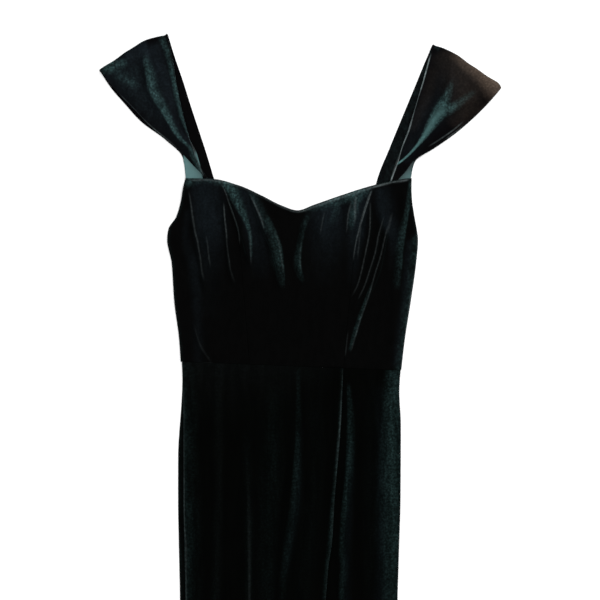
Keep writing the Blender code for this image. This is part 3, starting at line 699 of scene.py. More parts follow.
def rounded(gap, reach, drop):
    """Drop of an edge that is rounded over, at a distance from it."""
    share = 1.0 - np.clip(gap / reach, 0.0, 1.0)
    return drop * (1.0 - np.sqrt(1.0 - share * share))


def curve(keys, values, at):
    """Smooth curve through rising keys, held level beyond both ends."""
    keys = np.array(keys, float)
    values = np.array(values, float)
    runs = np.diff(keys)
    grades = np.diff(values) / runs
    before, after = grades[:-1], grades[1:]
    same_way = before * after > 0.0
    total = np.where(same_way, before + after, 1.0)
    inner = np.where(same_way, 2.0 * before * after / total, 0.0)
    grade = np.concatenate((grades[:1], inner, grades[-1:]))
    at = np.clip(at, keys[0], keys[-1])
    i = np.clip(np.searchsorted(keys, at, side="right") - 1, 0, len(runs) - 1)
    run = runs[i]
    t = (at - keys[i]) / run
    near = (1.0 + 2.0 * t) * (1.0 - t) ** 2 * values[i] + t * (1.0 - t) ** 2 * run * grade[i]
    far = t * t * (3.0 - 2.0 * t) * values[i + 1] + t * t * (t - 1.0) * run * grade[i + 1]
    return near + far


def line(table, key, name, shift=0.0):
    """One named column of a table as a line along another, moved by a distance."""
    keys = [getattr(row, key) for row in table]
    values = [getattr(row, name) for row in table]
    return lambda at: curve(keys, values, at) + shift


def waist(x):
    """Height of the waist seam, which drops a little across the gown."""
    return WAIST_Y + WAIST_SLOPE * x


def waist_seam(side):
    """Height of a panel's edge at the waist seam, on the upper (1) or lower (-1) side of it."""
    return lambda x: waist(x) + side * SEAM_GAP / 2.0


def hem(x):
    """Height of the hem, level right across."""
    return np.zeros(np.shape(x)) + HEM_Y


# The sweetheart neckline, the top edge of the bodice's back and the free edge of the lap
neckline = line(NECKLINE, "x", "y")
back_top = line(BACK_TOP, "x", "y")
lap_edge = line(SKIRT, "y", "lap_edge")


def resampled(path):
    """A path with more points between its own, on a smooth curve through them."""
    points = np.array(path, float)
    beyond = np.vstack((2 * points[0] - points[1], points, 2 * points[-1] - points[-2]))
    t = np.linspace(0.0, 1.0, PATH_STEPS, endpoint=False)[:, None]
    spans = []
    for before, start, end, after in zip(beyond, beyond[1:], beyond[2:], beyond[3:]):
        turn = 2 * before - 5 * start + 4 * end - after
        twist = 3 * start - before - 3 * end + after
        spans.append(start + 0.5 * ((end - before) * t + turn * t ** 2 + twist * t ** 3))
    return np.vstack(spans + [points[-1:]])


def beside(path, x, y, reach):
    """For the places near a path: which they are, their distance from it (positive on its
    right, going down it), how far along it they lie, its length and its further values."""
    points = resampled(path)
    low, high = points[:, :2].min(axis=0) - reach, points[:, :2].max(axis=0) + reach
    near = (x > low[0]) & (x < high[0]) & (y > low[1]) & (y < high[1])
    px, py = x[near], y[near]
    gap = np.full(px.shape, np.inf)
    run = np.zeros(px.shape)
    values = np.zeros((px.size, points.shape[1] - 2))
    done = 0.0
    for start, end in zip(points, points[1:]):
        step = end - start
        stride = math.hypot(step[0], step[1])
        share = ((px - start[0]) * step[0] + (py - start[1]) * step[1]) / stride ** 2
        share = np.clip(share, 0.0, 1.0)
        aside_x = px - start[0] - share * step[0]
        aside_y = py - start[1] - share * step[1]
        away = np.hypot(aside_x, aside_y)
        away = away * np.where(step[0] * aside_y - step[1] * aside_x < 0.0, -1.0, 1.0)
        nearer = np.abs(away) < np.abs(gap)
        gap = np.where(nearer, away, gap)
        run = np.where(nearer, done + share * stride, run)
        values[nearer] = start[2:] + share[nearer, None] * step[2:]
        done += stride
    return near, gap, run, done, values


def folds_height(folds, x, y):
    """Height of all the folds over a grid of places."""
    total = np.zeros(x.shape)
    for fold in folds:
        near, gap, run, whole, _ = beside(fold.path, x, y, max(fold.left, fold.right))
        fade = min(max(FOLD_FADE, LONG_FADE * whole), SHORT_FADE * whole)
        swell = ease(run / fade) * (1.0 + UNEVENNESS * np.sin(run / UNEVEN_LENGTH + fold.left))
        if fold.path[-1][1] > HEM_Y:
            swell = swell * ease((whole - run) / fade)
        flank = np.where(gap < 0.0, fold.left, fold.right)
        total[near] += fold.height * swell * crest(gap / flank)
    return total * bpy.context.scene.gown_cloth.fold_depth


def painted(paths, x, y):
    """Amount that all the strokes paint over a grid of places, for painted light and tint alike."""
    total = np.zeros(x.shape)
    for marks in paths:
        reach = max(max(mark.left, mark.right) for mark in marks)
        near, gap, run, whole, value = beside(marks, x, y, reach)
        fade = min(STROKE_FADE, SHORT_FADE * whole)
        ends = ease((run + STROKE_LEAD) / fade) * ease((whole - run + STROKE_LEAD) / fade)
        flank = np.where(gap < 0.0, value[:, 0], value[:, 1])
        across = ease((1.0 - np.abs(gap) / flank) * (1.0 + STROKE_CORE / flank))
        total[near] += value[:, 2] * ends * across
    return total


# ------------------------------------------------------- lift of the panels

def eased_in(table, gap, x, y):
    """Share of a soft lift that is kept at a gap from the waist, and near the side edges."""
    left = x - line(table, "y", "side_left")(y)
    right = line(table, "y", "side_right")(y) - x
    at_waist = between(WAIST_KEPT, 1.0, ease(gap / WAIST_FADE))
    return at_waist * ease(np.minimum(left, right) / SIDE_FADE)


def corner_lift(x, y):
    """Rise of the neckline's corners over the roots of the straps."""
    across = ease((np.abs(x) - CORNER_INNER_X) / (CORNER_OUTER_X - CORNER_INNER_X))
    up = ease((y - CORNER_FOOT_Y) / (CORNER_TOP_Y - CORNER_FOOT_Y))
    return CORNER_LIFT * across * up


def bust_loft(x, y):
    """Soft fullness over each side of the bust."""
    loft = np.zeros(x.shape)
    for centre_x, centre_y in BUST_CENTRES:
        loft += BUST_LOFT * crest(np.hypot(x - centre_x, y - centre_y) / BUST_REACH)
    return np.minimum(loft, BUST_LOFT)


def bodice_lift(x, y):
    """Lift of the bodice's front: firm over lower layers, and soft in folds and fullness."""
    at_neck = between(NECK_KEPT, 1.0, ease((neckline(x) - y) / NECK_FADE))
    soft = (folds_height(BODICE_FOLDS, x, y) + bust_loft(x, y)) * at_neck
    return corner_lift(x, y), soft * eased_in(BODICE, y - waist(x), x, y)


def skirt_folds(x, y):
    """Height of the folds in the skirt's front."""
    return folds_height(SKIRT_FOLDS, x, y) * eased_in(SKIRT, waist(x) - y, x, y)


def lapping_lift(x, y):
    """Lift of the skirt's left front: firm on the lap, and soft in folds and the edge's curl."""
    to_edge = lap_edge(y) - x
    on_lap = ease((LAP_WIDTH + LAP_MARGIN + LAP_RAMP - to_edge) / LAP_RAMP)
    curl = LAP_CURL * ease(1.0 - to_edge / LAP_RAMP)
    return LAP_LIFT * on_lap, between(skirt_folds(x, y), curl, on_lap)


def lapped_lift(x, y):
    """Lift of the skirt's right front, which is flat where the lap covers it."""
    past_edge = x - lap_edge(y)
    return np.zeros(x.shape), skirt_folds(x, y) * ease((past_edge - LAP_EDGE_CLEAR) / LAP_RAMP)


def flat(x, y):
    """No lift: cloth that lies flat on the layer below."""
    return np.zeros(x.shape), np.zeros(x.shape)


# ------------------------------------------------------------- laying cloth

def divided(start, end, spacing):
    """Places from each start to its end, closer together along both edges."""
    first, last = start + EDGE_PLACES[-1], end - EDGE_PLACES[-1]
    count = max(2, int(round(float(np.max(last - first)) / spacing)))
    middle = between(first, last, np.linspace(0.0, 1.0, count + 1))
    return np.concatenate((start + EDGE_PLACES[:-1], middle, end - EDGE_PLACES[-2::-1]), axis=-1)


def panel_grid(left, right, foot, top, row_spacing, spacing):
    """Places of a panel: rows from foot to top, with columns that follow its side edges."""
    start, end = float(foot(0.0)), float(top(0.0))
    rows = divided(np.array([start]), np.array([end]), row_spacing)[:, None]
    share = (rows - start) / (end - start)
    x, y = divided(left(rows), right(rows), spacing), rows
    across = (x - left(rows)) / (right(rows) - left(rows))
    for _ in range(SETTLING_PASSES):
        y = between(foot(x), top(x), share)
        x = between(left(y), right(y), across)
    return x, y


def edge_gaps(x, y):
    """Distance of each place in a grid from each of the grid's edges."""
    return {side: np.hypot(x - x[at], y - y[at]) for side, (at, _, _) in EDGES.items()}


def placed(name, data, place):
    """A new object in the scene, at its place."""
    thing = bpy.data.objects.new(name, data)
    thing.location = place
    bpy.context.scene.collection.objects.link(thing)
    return thing


def lay_cloth(node, under, over, pile, materials, layer=0.0, underside_painted_sheen=0.0):
    """A closed wall of cloth between two matching grids of points, placed on its layer. Its rim takes the
    last of its materials, and its underside may have a little painted sheen of its own."""
    rows, columns = over.shape[:2]
    points = np.concatenate((under.reshape(-1, 3), over.reshape(-1, 3))) * MM
    low = np.arange(rows * columns).reshape(rows, columns)
    high = low + rows * columns
    rim_low = np.concatenate((low[0], low[1:, -1], low[-1, -2::-1], low[-2:0:-1, 0]))
    rim_high = rim_low + rows * columns
    faces = (
        (high[:-1, :-1], high[:-1, 1:], high[1:, 1:], high[1:, :-1]),
        (low[:-1, :-1], low[1:, :-1], low[1:, 1:], low[:-1, 1:]),
        (rim_low, np.roll(rim_low, -1), np.roll(rim_high, -1), rim_high),
    )
    quads = np.concatenate([np.stack(corners, axis=-1).reshape(-1, 4) for corners in faces])
    if np.cross(over[0, 1] - over[0, 0], over[1, 0] - over[0, 0])[2] < 0.0:
        quads = quads[:, ::-1]
    mesh = bpy.data.meshes.new(node)
    mesh.from_pydata(points.tolist(), [], quads.tolist())
    for title in PILES:
        values = np.zeros((2, rows, columns), np.float32)
        values[0] = underside_painted_sheen if title == "nap" else 0.0
        values[1] = pile.get(title, 0.0)
        mesh.attributes.new(title, "FLOAT", "POINT").data.foreach_set("value", values.ravel())
    for material in materials:
        mesh.materials.append(material)
    rim = np.zeros(len(quads), np.int32)
    rim[-len(rim_low):] = len(materials) - 1
    mesh.polygons.foreach_set("material_index", rim)
    mesh.polygons.foreach_set("use_smooth", rim == 0)
    return placed(node + "_cloth", mesh, (0.0, 0.0, layer * MM))


def dress(piece, node):
    """Put a finished piece in place of its node."""
    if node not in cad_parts:
        raise RuntimeError("the packed model has no piece called " + node)
    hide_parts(node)
    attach(piece, BODY)


def lay_panel(node, grid, lift, layer, material, turned=(), seamed=()):
    """A panel of velvet: its underside follows a soft fold less than its face does, and the
    undersides of sewn panels meet in their seam."""
    x, y = grid
    firm, soft = lift(x, y)
    gaps = edge_gaps(x, y)
    drop = np.zeros(x.shape)
    full = np.zeros(x.shape)
    # The painted sheen, soft light and highlights of the panel's strokes
    marks = PANEL_STROKES.get(node, {})
    pile = {title: painted(marks.get(title, ()), x, y) for title in PILES}
    for side in turned:
        drop = np.maximum(drop, rounded(gaps[side], TURNED_ROUND, TURNED_DROP))
        bead = crest((gaps[side] - TURNED_BEAD / 2.0) / TURNED_BEAD)
        full = np.maximum(full, TURNED_FULLNESS * bead)
        # A painted highlight and painted sheen along a turned edge
        pile["gleam"] += TURNED_GLEAM * ease(1.0 - gaps[side] / TURNED_ROUND)
        pile["nap"] += TURNED_PAINTED_SHEEN * ease(1.0 - gaps[side] / TURNED_BEAD)
    under = np.stack((x, y, firm + soft * HOLLOW_SHARE), axis=-1)
    for side in seamed:
        drop = np.maximum(drop, SEAM_DROP * ease(1.0 - gaps[side] / SEAM_ROUND))
        at, axis, way = EDGES[side]
        under[(*at, axis)] += way * SEAM_GAP / 2.0
    over = np.stack((x, y, WALL + firm + soft + full - drop), axis=-1)
    piece = lay_cloth(node, under, over, pile, (material, raw_edge_material()), layer)
    dress(piece, node)


def strap_places(stations, along, across):
    """Places on one half of a strap, by its shares along and across."""
    keys = np.linspace(0.0, 1.0, len(stations))
    outer_x, outer_y, inner_x, inner_y = (curve(keys, values, along) for values in zip(*stations))
    outer = np.stack((outer_x, outer_y), axis=-1)[:, None, :]
    inner = np.stack((inner_x, inner_y), axis=-1)[:, None, :]
    return outer + (inner - outer) * np.atleast_2d(across)[..., None]


def shoulder_arch(strap, across):
    """How far the shoulder fold bows out from a straight line, at shares across it."""
    fold = strap["front"][-1]
    breadth = math.hypot(fold.outer_x - fold.inner_x, fold.outer_y - fold.inner_y)
    arch = strap["bulge"] * np.sin(np.pi * across ** strap["skew"]) - (TURN_RADIUS + WALL)
    arch -= strap["outer_round"] * (1.0 - across * breadth / CORNER_REACH).clip(0.0) ** 2
    arch += strap["inner_peak"] * (1.0 - (1.0 - across) * breadth / PEAK_REACH).clip(0.0) ** 2
    arch += SHOULDER_WAVE * np.sin(across * breadth / SHOULDER_RIPPLE) * np.sin(np.pi * across)
    return arch


def lay_strap(side, material):
    """One strap: its front half, the turn over the shoulder and its back half."""
    strap = STRAPS[side]
    across = np.linspace(0.0, 1.0, STRAP_COLUMNS + 1)
    arch = shoulder_arch(strap, across)
    fold = strap["front"][-1]
    run_x, run_y = fold.inner_x - fold.outer_x, fold.inner_y - fold.outer_y
    outward = np.array((-run_y, run_x)) / math.hypot(run_x, run_y)
    outward *= math.copysign(1.0, outward[1])

    def half(stations, along, lean):
        """Places of one half, bowed out towards its shoulder fold."""
        return strap_places(stations, along, across) \
            + lean[:, None, None] ** TURN_LEAN * arch[None, :, None] * outward

    root = strap["front"][0]
    reach = math.hypot(root.outer_x - fold.outer_x, root.outer_y - fold.outer_y)
    along = np.linspace(0.0, 1.0, int(reach / ROW_SPACING_STRAP) + 1)
    front = half(strap["front"], along, along)
    x, y = front[..., 0], front[..., 1]
    breadth = np.hypot(x[:, -1:] - x[:, :1], y[:, -1:] - y[:, :1])
    to_edge = np.minimum(across, 1.0 - across)[None, :] * breadth
    soft = folds_height(STRAP_FOLDS[side], x, y) * ease((y - STRAP_ROOT_Y) / STRAP_ROOT_FADE)
    soft *= between(TURN_SOFTNESS, 1.0, ease((1.0 - along) / TURN_FADE))[:, None]
    soft *= between(STRAP_EDGE_KEPT, 1.0, ease(to_edge / STRAP_EDGE_FADE))
    drop = rounded(to_edge, STRAP_EDGE_ROUND, STRAP_EDGE_DROP)
    base = (WALL + curve(*zip(*STRAP_CLEARANCE), along))[:, None]
    inside = [np.dstack((x, y, base + soft * HOLLOW_SHARE))]
    face = [np.dstack((x, y, base + WALL + soft - drop))]
    # The painted sheen, soft light, highlights and brown tint of the strap's strokes, and a painted
    # highlight along its edges
    pile = {title: [painted(marks[side], x, y)] for title, marks in STRAP_STROKES.items()}
    pile["gleam"][0] += TURNED_GLEAM * ease(1.0 - to_edge / STRAP_EDGE_ROUND)

    angles = np.pi * np.arange(1, TURN_STEPS) / TURN_STEPS
    for rows, radius, share in ((inside, TURN_RADIUS, HOLLOW_SHARE),
                                (face, TURN_RADIUS + WALL, 1.0)):
        for angle in angles:
            place = front[-1] + outward * radius * math.sin(angle)
            rise = soft[-1] * share * max(math.cos(angle), 0.0)
            z = WALL + TURN_RADIUS + radius * math.cos(angle) + rise
            rows.append(np.column_stack((place, z))[None])

    along = np.linspace(0.0, 1.0, STRAP_BACK_ROWS + 1)
    back = half(strap["back"], along, 1.0 - along)
    x, y = back[..., 0], back[..., 1]
    inside.append(np.dstack((x, y, np.full(x.shape, WALL))))
    face.append(np.dstack((x, y, np.zeros(x.shape))))
    for rows in pile.values():
        rows.append(np.repeat(rows[0][-1:], len(angles), axis=0))
        rows.append(np.zeros(x.shape))
    pile = {title: np.concatenate(rows) for title, rows in pile.items()}
    node = "strap_" + side
    piece = lay_cloth(node, np.concatenate(inside), np.concatenate(face), pile, (material,),
                      underside_painted_sheen=strap["back_painted_sheen"])
    dress(piece, node)


def lay_facing(side, material):
    """The pale facing that lies on a strap's back half, at its root."""
    along = np.linspace(*FACING_SPAN, FACING_ROWS + 1)
    tuck = FACING_TUCK * ease((FACING_SHOWN - along) / (FACING_SHOWN - FACING_SPAN[0]))[:, None]
    across = between(tuck, FACING_SHARE, np.linspace(0.0, 1.0, FACING_COLUMNS + 1))
    places = strap_places(STRAPS[side]["back"], along, across)
    x, y = places[..., 0], places[..., 1]
    gap = np.min(list(edge_gaps(x, y).values()), axis=0)
    under = np.dstack((x, y, np.zeros(x.shape)))
    over = np.dstack((x, y, FACING_WALL - rounded(gap, FACING_ROUND, FACING_DROP)))
    node = "strap_facing_" + side
    # How lit the satin is, for its painted shade
    pile = {"nap": painted(FACING_PAINTED_LIGHT[side], x, y)}
    dress(lay_cloth(node, under, over, pile, (material,), FRONT_LAYER), node)


# ---------------------------------------------------------------- materials

def opaque(tint, share=1.0):
    """A colour at a share of its strength, with no see-through."""
    return (*(share * value for value in tint), 1.0)


class Shop:
    """A shader tree, with short words for adding nodes and joining them. Sockets are known by
    name, or by number where a node has several of one name."""

    def __init__(self, tree):
        self.tree = tree

    def feed(self, node, values):
        """Set inputs of a node, or join them where a value is an output of another node."""
        for name, value in values.items():
            if isinstance(value, bpy.types.NodeSocket):
                self.tree.links.new(value, node.inputs[name])
            else:
                node.inputs[name].default_value = value

    def add(self, kind, values=None, **traits):
        """A new node with its traits and inputs set."""
        node = self.tree.nodes.new("ShaderNode" + kind)
        for trait, value in traits.items():
            setattr(node, trait, value)
        self.feed(node, values or {})
        return node

    def times(self, first, second):
        """Product of two values."""
        return self.add("Math", {0: first, 1: second}, operation="MULTIPLY").outputs[0]

    def scaled(self, vector, amount):
        """A vector or colour times a value."""
        node = self.add("VectorMath", {0: vector, "Scale": amount}, operation="SCALE")
        return node.outputs["Vector"]

    def span(self, value, low, high, new_low, new_high):
        """A value moved from one range to another, and held within its new ends."""
        node = self.add("MapRange", {"Value": value, "From Min": low, "From Max": high,
                                     "To Min": new_low, "To Max": new_high})
        return node.outputs["Result"]

    def mix(self, factor, first, second):
        """A colour between two."""
        return self.add("Mix", {0: factor, 6: first, 7: second}, data_type="RGBA").outputs[2]

    def relief(self, shader, height, strength, distance):
        """Raise a fine relief on a shader's surface."""
        bump = self.add("Bump", {"Height": height, "Strength": strength, "Distance": distance})
        self.feed(shader, {"Normal": bump.outputs["Normal"]})


def new_group(name, inputs, outputs):
    """An empty shader node group: its shop, what it is given, and the node for what it makes."""
    tree = bpy.data.node_groups.new(name, "ShaderNodeTree")
    for title, (kind, default) in inputs.items():
        socket = tree.interface.new_socket(title, in_out="INPUT", socket_type="NodeSocket" + kind)
        if default is not None:
            socket.default_value = default
    for title, kind in outputs.items():
        tree.interface.new_socket(title, in_out="OUTPUT", socket_type="NodeSocket" + kind)
    given, made = tree.nodes.new("NodeGroupInput"), tree.nodes.new("NodeGroupOutput")
    return Shop(tree), given.outputs, made


def new_material(name):
    """A new material: its shop, its shader and the place on its piece."""
    material = bpy.data.materials.new(name)
    material.use_nodes = True
    shop = Shop(material.node_tree)
    shader = material.node_tree.nodes["Principled BSDF"]
    return material, shop, shader, shop.add("TexCoord").outputs["Object"]


def pile_grain_group():
    """Grain of a pile: its tufts, which also raise it, and the patches where it is crushed."""
    name = "Pile Grain"
    if name in bpy.data.node_groups:
        return bpy.data.node_groups[name]
    shop, given, made = new_group(
        name,
        {"Place": ("Vector", None), "Tuft Size": ("Float", 0.0023),
         "Patch Size": ("Float", 0.010), "Lengthwise": ("Float", 0.5)},
        {"Tufts": "Float", "Patches": "Float"},
    )
    scales = [shop.add("Math", {0: 1.0, 1: given[size]}, operation="DIVIDE").outputs[0]
              for size in ("Tuft Size", "Patch Size")]
    tufts = shop.add("TexNoise", {"Vector": given["Place"], "Scale": scales[0], "Detail": 2.0,
                                  "Roughness": 0.65})
    lengthwise = shop.add("CombineXYZ", {"X": 1.0, "Y": given["Lengthwise"], "Z": 1.0})
    drawn = shop.add("VectorMath", {0: given["Place"], 1: lengthwise.outputs["Vector"]},
                     operation="MULTIPLY")
    patches = shop.add("TexNoise", {"Vector": drawn.outputs["Vector"], "Scale": scales[1],
                                    "Detail": 3.0, "Roughness": 0.55, "Distortion": 0.6})
    tips = shop.add("Math", {0: shop.span(tufts.outputs["Fac"], 0.34, 0.72, 0.0, 1.0), 1: 1.6},
                    operation="POWER")
    shop.feed(made, {"Tufts": tips.outputs[0],
                     "Patches": shop.span(patches.outputs["Fac"], 0.3, 0.7, 0.0, 1.0)})
    return shop.tree


def pile_sheen_group():
    """Colour and roughness of velvet: its deep colour with the painted sheen, soft light, highlights and
    brown tint laid on, all broken up by its grain.
    """
    name = "Pile Sheen"
    if name in bpy.data.node_groups:
        return bpy.data.node_groups[name]
    inputs = {"Tufts": ("Float", 0.5), "Patches": ("Float", 0.5), "deep colour": ("Color", None)}
    for title in PILES:
        inputs[title] = ("Float", 0.0)
        inputs[title + " colour"] = ("Color", None)
    shop, given, made = new_group(name, inputs, {"Colour": "Color", "Roughness": "Float"})
    tufts, patches = given["Tufts"], given["Patches"]
    coarse = shop.times(shop.span(tufts, 0.0, 1.0, 0.4, 2.4), shop.span(patches, 0.0, 1.0, 0.4, 1.6))
    calm = shop.span(given["nap"], 0.4, 1.2, 0.0, 0.75)
    calmed = shop.add("Mix", {0: calm, 2: coarse, 3: 1.0}, data_type="FLOAT")
    fine = shop.span(tufts, 0.0, 1.0, 0.75, 1.6)
    faint = shop.times(fine, shop.span(patches, 0.0, 1.0, 0.7, 1.3))
    grains = {"nap": calmed.outputs[0], "haze": faint, "gleam": faint, "worn": fine}
    total = shop.scaled(given["deep colour"], shop.span(patches, 0.0, 1.0, 0.88, 1.12))
    amounts = {title: shop.times(given[title], grains[title]) for title in PILES}
    for title, amount in amounts.items():
        lit = shop.scaled(given[title + " colour"], amount)
        total = shop.add("VectorMath", {0: total, 1: lit}, operation="ADD").outputs["Vector"]
    shop.feed(made, {"Colour": total,
                     "Roughness": shop.span(amounts["nap"], 0.0, 1.0, 0.95, 0.8)})
    return shop.tree


def velvet_material(part):
    """Velvet of one part of the gown: the deep colour set for that part, the straps' lighter and the
    skirt's darker as painted light and shade on one velvet, under the painted sheen, soft light,
    highlights and brown tint of its strokes.
    """
    name = "velvet_" + part
    if name in bpy.data.materials:
        return bpy.data.materials[name]
    velvet = bpy.context.scene.gown_velvet
    material, shop, shader, place = new_material(name)
    grain = shop.add("Group", {"Place": place, "Tuft Size": velvet.grain,
                               "Lengthwise": PILE_RUN[part]}, node_tree=pile_grain_group())
    pile = {"Tufts": grain.outputs["Tufts"], "Patches": grain.outputs["Patches"],
            "deep colour": opaque(getattr(velvet, part + "_colour"))}
    # Amounts of painted sheen, soft light, highlight and brown tint at each point
    for title in PILES:
        pile[title] = shop.add("Attribute", attribute_name=title).outputs["Fac"]
        pile[title + " colour"] = opaque(getattr(velvet, title + "_colour"))
    sheen = shop.add("Group", pile, node_tree=pile_sheen_group())
    shop.relief(shader, grain.outputs["Tufts"], strength=0.25, distance=0.0005)
    shop.feed(shader, {
        "Base Color": sheen.outputs["Colour"], "Roughness": sheen.outputs["Roughness"],
        "Specular IOR Level": 0.0, "Sheen Weight": 1.0, "Sheen Roughness": 0.24,
        "Sheen Tint": (0.22, 0.42, 0.42, 1.0),
    })
    return material


def raw_edge_material():
    """The dark cut edge of the velvet, which has no pile."""
    name = "velvet_raw_edge"
    if name in bpy.data.materials:
        return bpy.data.materials[name]
    velvet = bpy.context.scene.gown_velvet
    material, shop, shader, place = new_material(name)
    grain = shop.add("Group", {"Place": place}, node_tree=pile_grain_group())
    flecked = shop.mix(grain.outputs["Tufts"], opaque(velvet.skirt_colour),
                       opaque(velvet.strap_colour))
    shop.feed(shader, {"Base Color": flecked, "Roughness": 0.95, "Specular IOR Level": 0.0})
    return material


def lining_material():
    """Pale green satin with fine threads, and painted shade where it turns away inside the strap."""
    name = "lining_satin"
    if name in bpy.data.materials:
        return bpy.data.materials[name]
    lining = bpy.context.scene.gown_lining
    material, shop, shader, place = new_material(name)
    threads = shop.add("TexWave", {"Vector": place, "Scale": 1.0 / (lining.thread * WAVE_RATE),
                                   "Distortion": 1.2, "Detail": 2.0}).outputs["Fac"]
    clouds = shop.add("TexNoise", {"Vector": place, "Scale": 60.0, "Detail": 3.0}).outputs["Fac"]
    # Share of the satin that is lit; the rest takes painted shade
    lit_share = shop.add("Attribute", attribute_name="nap").outputs["Fac"]
    lit = shop.times(lit_share, shop.span(clouds, 0.3, 0.7, 0.85, 1.1))
    shop.relief(shader, threads, strength=0.2, distance=0.0002)
    shop.feed(shader, {
        "Base Color": shop.mix(lit, opaque(lining.colour, LINING_PAINTED_SHADE),
                               opaque(lining.colour)),
        "Roughness": shop.span(threads, 0.0, 1.0, 0.38, 0.5), "Specular IOR Level": 0.15,
    })
    return material


def table_material(tint):
    """Smooth pale table top."""
    material, shop, shader, place = new_material("table_top")
    clouds = shop.add("TexNoise", {"Vector": place, "Scale": 3.0, "Detail": 2.0}).outputs["Fac"]
    shop.feed(shader, {"Base Color": shop.mix(clouds, opaque(tint, TABLE_SHADE), opaque(tint)),
                       "Roughness": 0.9, "Specular IOR Level": 0.1})
    return material


# -------------------------------------------------------------------- stage

def add_light(name, place, size, watts):
    """A soft square light aimed at the middle of the gown."""
    data = bpy.data.lights.new(name, "AREA")
    data.size = size
    data.energy = watts
    light = placed(name, data, place)
    light.rotation_euler = (GOWN_MIDDLE - Vector(place)).to_track_quat("-Z", "Y").to_euler()


# ---------------------------------------------------------------- operators

class GOWN_OT_bodice_front(bpy.types.Operator):
    """Lay the centre front and the two side fronts of the bodice"""

    bl_idname = "gown.bodice_front"
    bl_label = "Lay bodice front"

    def execute(self, context):
        spacing = context.scene.gown_cloth.spacing / MM
        half_gap = SEAM_GAP / 2.0
        fronts = (
            ("bodice_front_center", ("seam_left", half_gap), ("seam_right", -half_gap),
             ("top",), ("left", "right", "foot")),
            ("bodice_side_front_left", ("side_left",), ("seam_left", -half_gap),
             ("top", "left"), ("right", "foot")),
            ("bodice_side_front_right", ("seam_right", half_gap), ("side_right",),
             ("top", "right"), ("left", "foot")),
        )
        for node, left, right, turned, seamed in fronts:
            grid = panel_grid(line(BODICE, "y", *left), line(BODICE, "y", *right),
                              waist_seam(1), neckline, ROW_SPACING_BODICE, spacing)
            lay_panel(node, grid, bodice_lift, FRONT_LAYER, velvet_material("bodice"), turned,
                      seamed)
        return {"FINISHED"}


class GOWN_OT_bodice_back(bpy.types.Operator):
    """Lay the back of the bodice"""

    bl_idname = "gown.bodice_back"
    bl_label = "Lay bodice back"

    def execute(self, context):
        left = line(BODICE, "y", "side_left", BACK_INSET)
        right = line(BODICE, "y", "side_right", -BACK_INSET)
        grid = panel_grid(left, right, waist_seam(1), back_top, BACK_SPACING, BACK_SPACING)
        lay_panel("bodice_back", grid, flat, 0.0, velvet_material("bodice"))
        return {"FINISHED"}


class GOWN_OT_skirt_front(bpy.types.Operator):
    """Lay the skirt's left front over its right front"""

    bl_idname = "gown.skirt_front"
    bl_label = "Lay skirt front"

    def execute(self, context):
        spacing = context.scene.gown_cloth.spacing / MM * SKIRT_COARSER
        under_lap = line(SKIRT, "y", "lap_edge", -LAP_WIDTH)
        fronts = (
            ("skirt_front_left", line(SKIRT, "y", "side_left"), lap_edge, lapping_lift,
             ("left", "right", "foot")),
            ("skirt_front_right", under_lap, line(SKIRT, "y", "side_right"), lapped_lift,
             ("right", "foot")),
        )
        for node, left, right, lift, turned in fronts:
            grid = panel_grid(left, right, hem, waist_seam(-1), ROW_SPACING_SKIRT, spacing)
            lay_panel(node, grid, lift, FRONT_LAYER, velvet_material("skirt"), turned, ("top",))
        return {"FINISHED"}


class GOWN_OT_skirt_back(bpy.types.Operator):
    """Lay the back of the skirt"""

    bl_idname = "gown.skirt_back"
    bl_label = "Lay skirt back"

    def execute(self, context):
        side_left = line(SKIRT, "y", "side_left")

        def left(y):
            """The back's left edge, which shows past the front's."""
            return side_left(y) - BACK_PEEK * ease((WAIST_Y - y) / BACK_PEEK_RAMP)

        grid = panel_grid(left, line(SKIRT, "y", "side_right", -BACK_INSET), hem, waist_seam(-1),
                          BACK_SPACING, BACK_SPACING)
        lay_panel("skirt_back", grid, flat, 0.0, velvet_material("skirt"), ("left",))
        return {"FINISHED"}


class GOWN_OT_straps(bpy.types.Operator):
    """Lay both straps, folded over at the shoulder"""

    bl_idname = "gown.straps"
    bl_label = "Lay straps"

    def execute(self, context):
        for side in STRAPS:
            lay_strap(side, velvet_material("strap"))
        return {"FINISHED"}


class GOWN_OT_strap_facings(bpy.types.Operator):
    """Lay the pale facings at the back roots of the straps"""

    bl_idname = "gown.strap_facings"
    bl_label = "Lay strap facings"

    def execute(self, context):
        for side in STRAPS:
            lay_facing(side, lining_material())
        return {"FINISHED"}


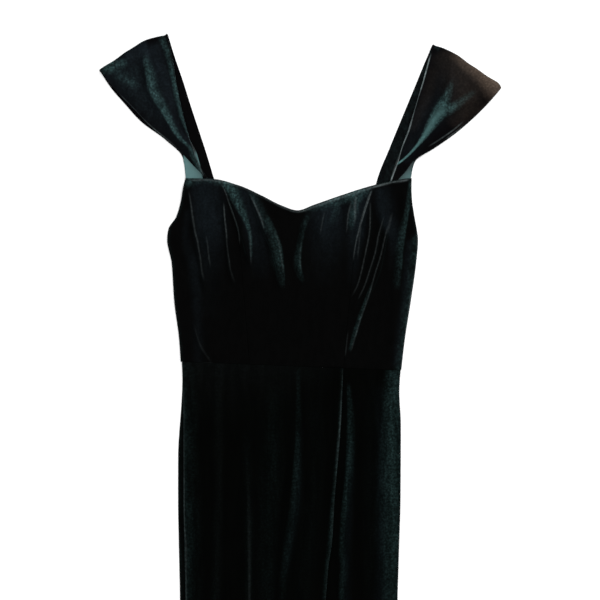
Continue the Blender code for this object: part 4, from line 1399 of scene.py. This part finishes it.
class GOWN_OT_stage(bpy.types.Operator):
    """Set the table, the lights and the camera"""

    bl_idname = "gown.stage"
    bl_label = "Set the stage"

    def execute(self, context):
        stage = context.scene.gown_stage
        half = TABLE_SIZE / 2.0
        mesh = bpy.data.meshes.new("table")
        corners = [(-half, -half, 0.0), (half, -half, 0.0), (half, half, 0.0), (-half, half, 0.0)]
        mesh.from_pydata(corners, [], [(0, 1, 2, 3)])
        mesh.materials.append(table_material(stage.table_colour))
        table = placed("table", mesh, (0.0, 0.0, TABLE_Z))

        add_light("key_light", KEY_PLACE, KEY_SIZE, stage.key_power)
        add_light("top_light", TOP_PLACE, TOP_SIZE, stage.top_power)
        world = bpy.data.worlds.new("room")
        world.use_nodes = True
        background = world.node_tree.nodes["Background"]
        background.inputs["Color"].default_value = (1.0, 1.0, 1.0, 1.0)
        background.inputs["Strength"].default_value = stage.room_light
        context.scene.world = world
        context.scene.view_settings.view_transform = "Standard"

        lens = bpy.data.cameras.new("camera")
        lens.lens = stage.lens
        lens.sensor_width = SENSOR_WIDTH
        context.scene.camera = placed("camera", lens, CAMERA_PLACE)
        return {"FINISHED"}


class GOWN_PT_panel(bpy.types.Panel):
    """Settings of the gown and the steps that lay it out"""

    bl_idname = "GOWN_PT_panel"
    bl_label = "Evening Gown"
    bl_space_type = "VIEW_3D"
    bl_region_type = "UI"
    bl_category = "Gown"

    def draw(self, context):
        for group in SETTINGS:
            settings = getattr(context.scene, group)
            box = self.layout.box()
            for name in type(settings).__annotations__:
                box.prop(settings, name)
        for step in STEPS:
            self.layout.operator("gown." + step)


SETTINGS = {
    "gown_cloth": GownClothSettings,
    "gown_velvet": GownVelvetSettings,
    "gown_lining": GownLiningSettings,
    "gown_stage": GownStageSettings,
}
STEPS = ("bodice_back", "bodice_front", "skirt_back", "skirt_front", "straps", "strap_facings",
         "stage")
CLASSES = (
    *SETTINGS.values(), GOWN_OT_bodice_front, GOWN_OT_bodice_back, GOWN_OT_skirt_front,
    GOWN_OT_skirt_back, GOWN_OT_straps, GOWN_OT_strap_facings, GOWN_OT_stage, GOWN_PT_panel,
)


def register():
    """Make the settings, the steps and the panel known to Blender."""
    for item in CLASSES:
        bpy.utils.register_class(item)
    for name, group in SETTINGS.items():
        setattr(bpy.types.Scene, name, PointerProperty(type=group))


def unregister():
    """Take them away again."""
    for name in SETTINGS:
        delattr(bpy.types.Scene, name)
    for item in reversed(CLASSES):
        bpy.utils.unregister_class(item)


def main():
    """Lay out the gown and the stage."""
    register()
    for step in STEPS:
        getattr(bpy.ops.gown, step)()


if __name__ == "__main__":
    main()
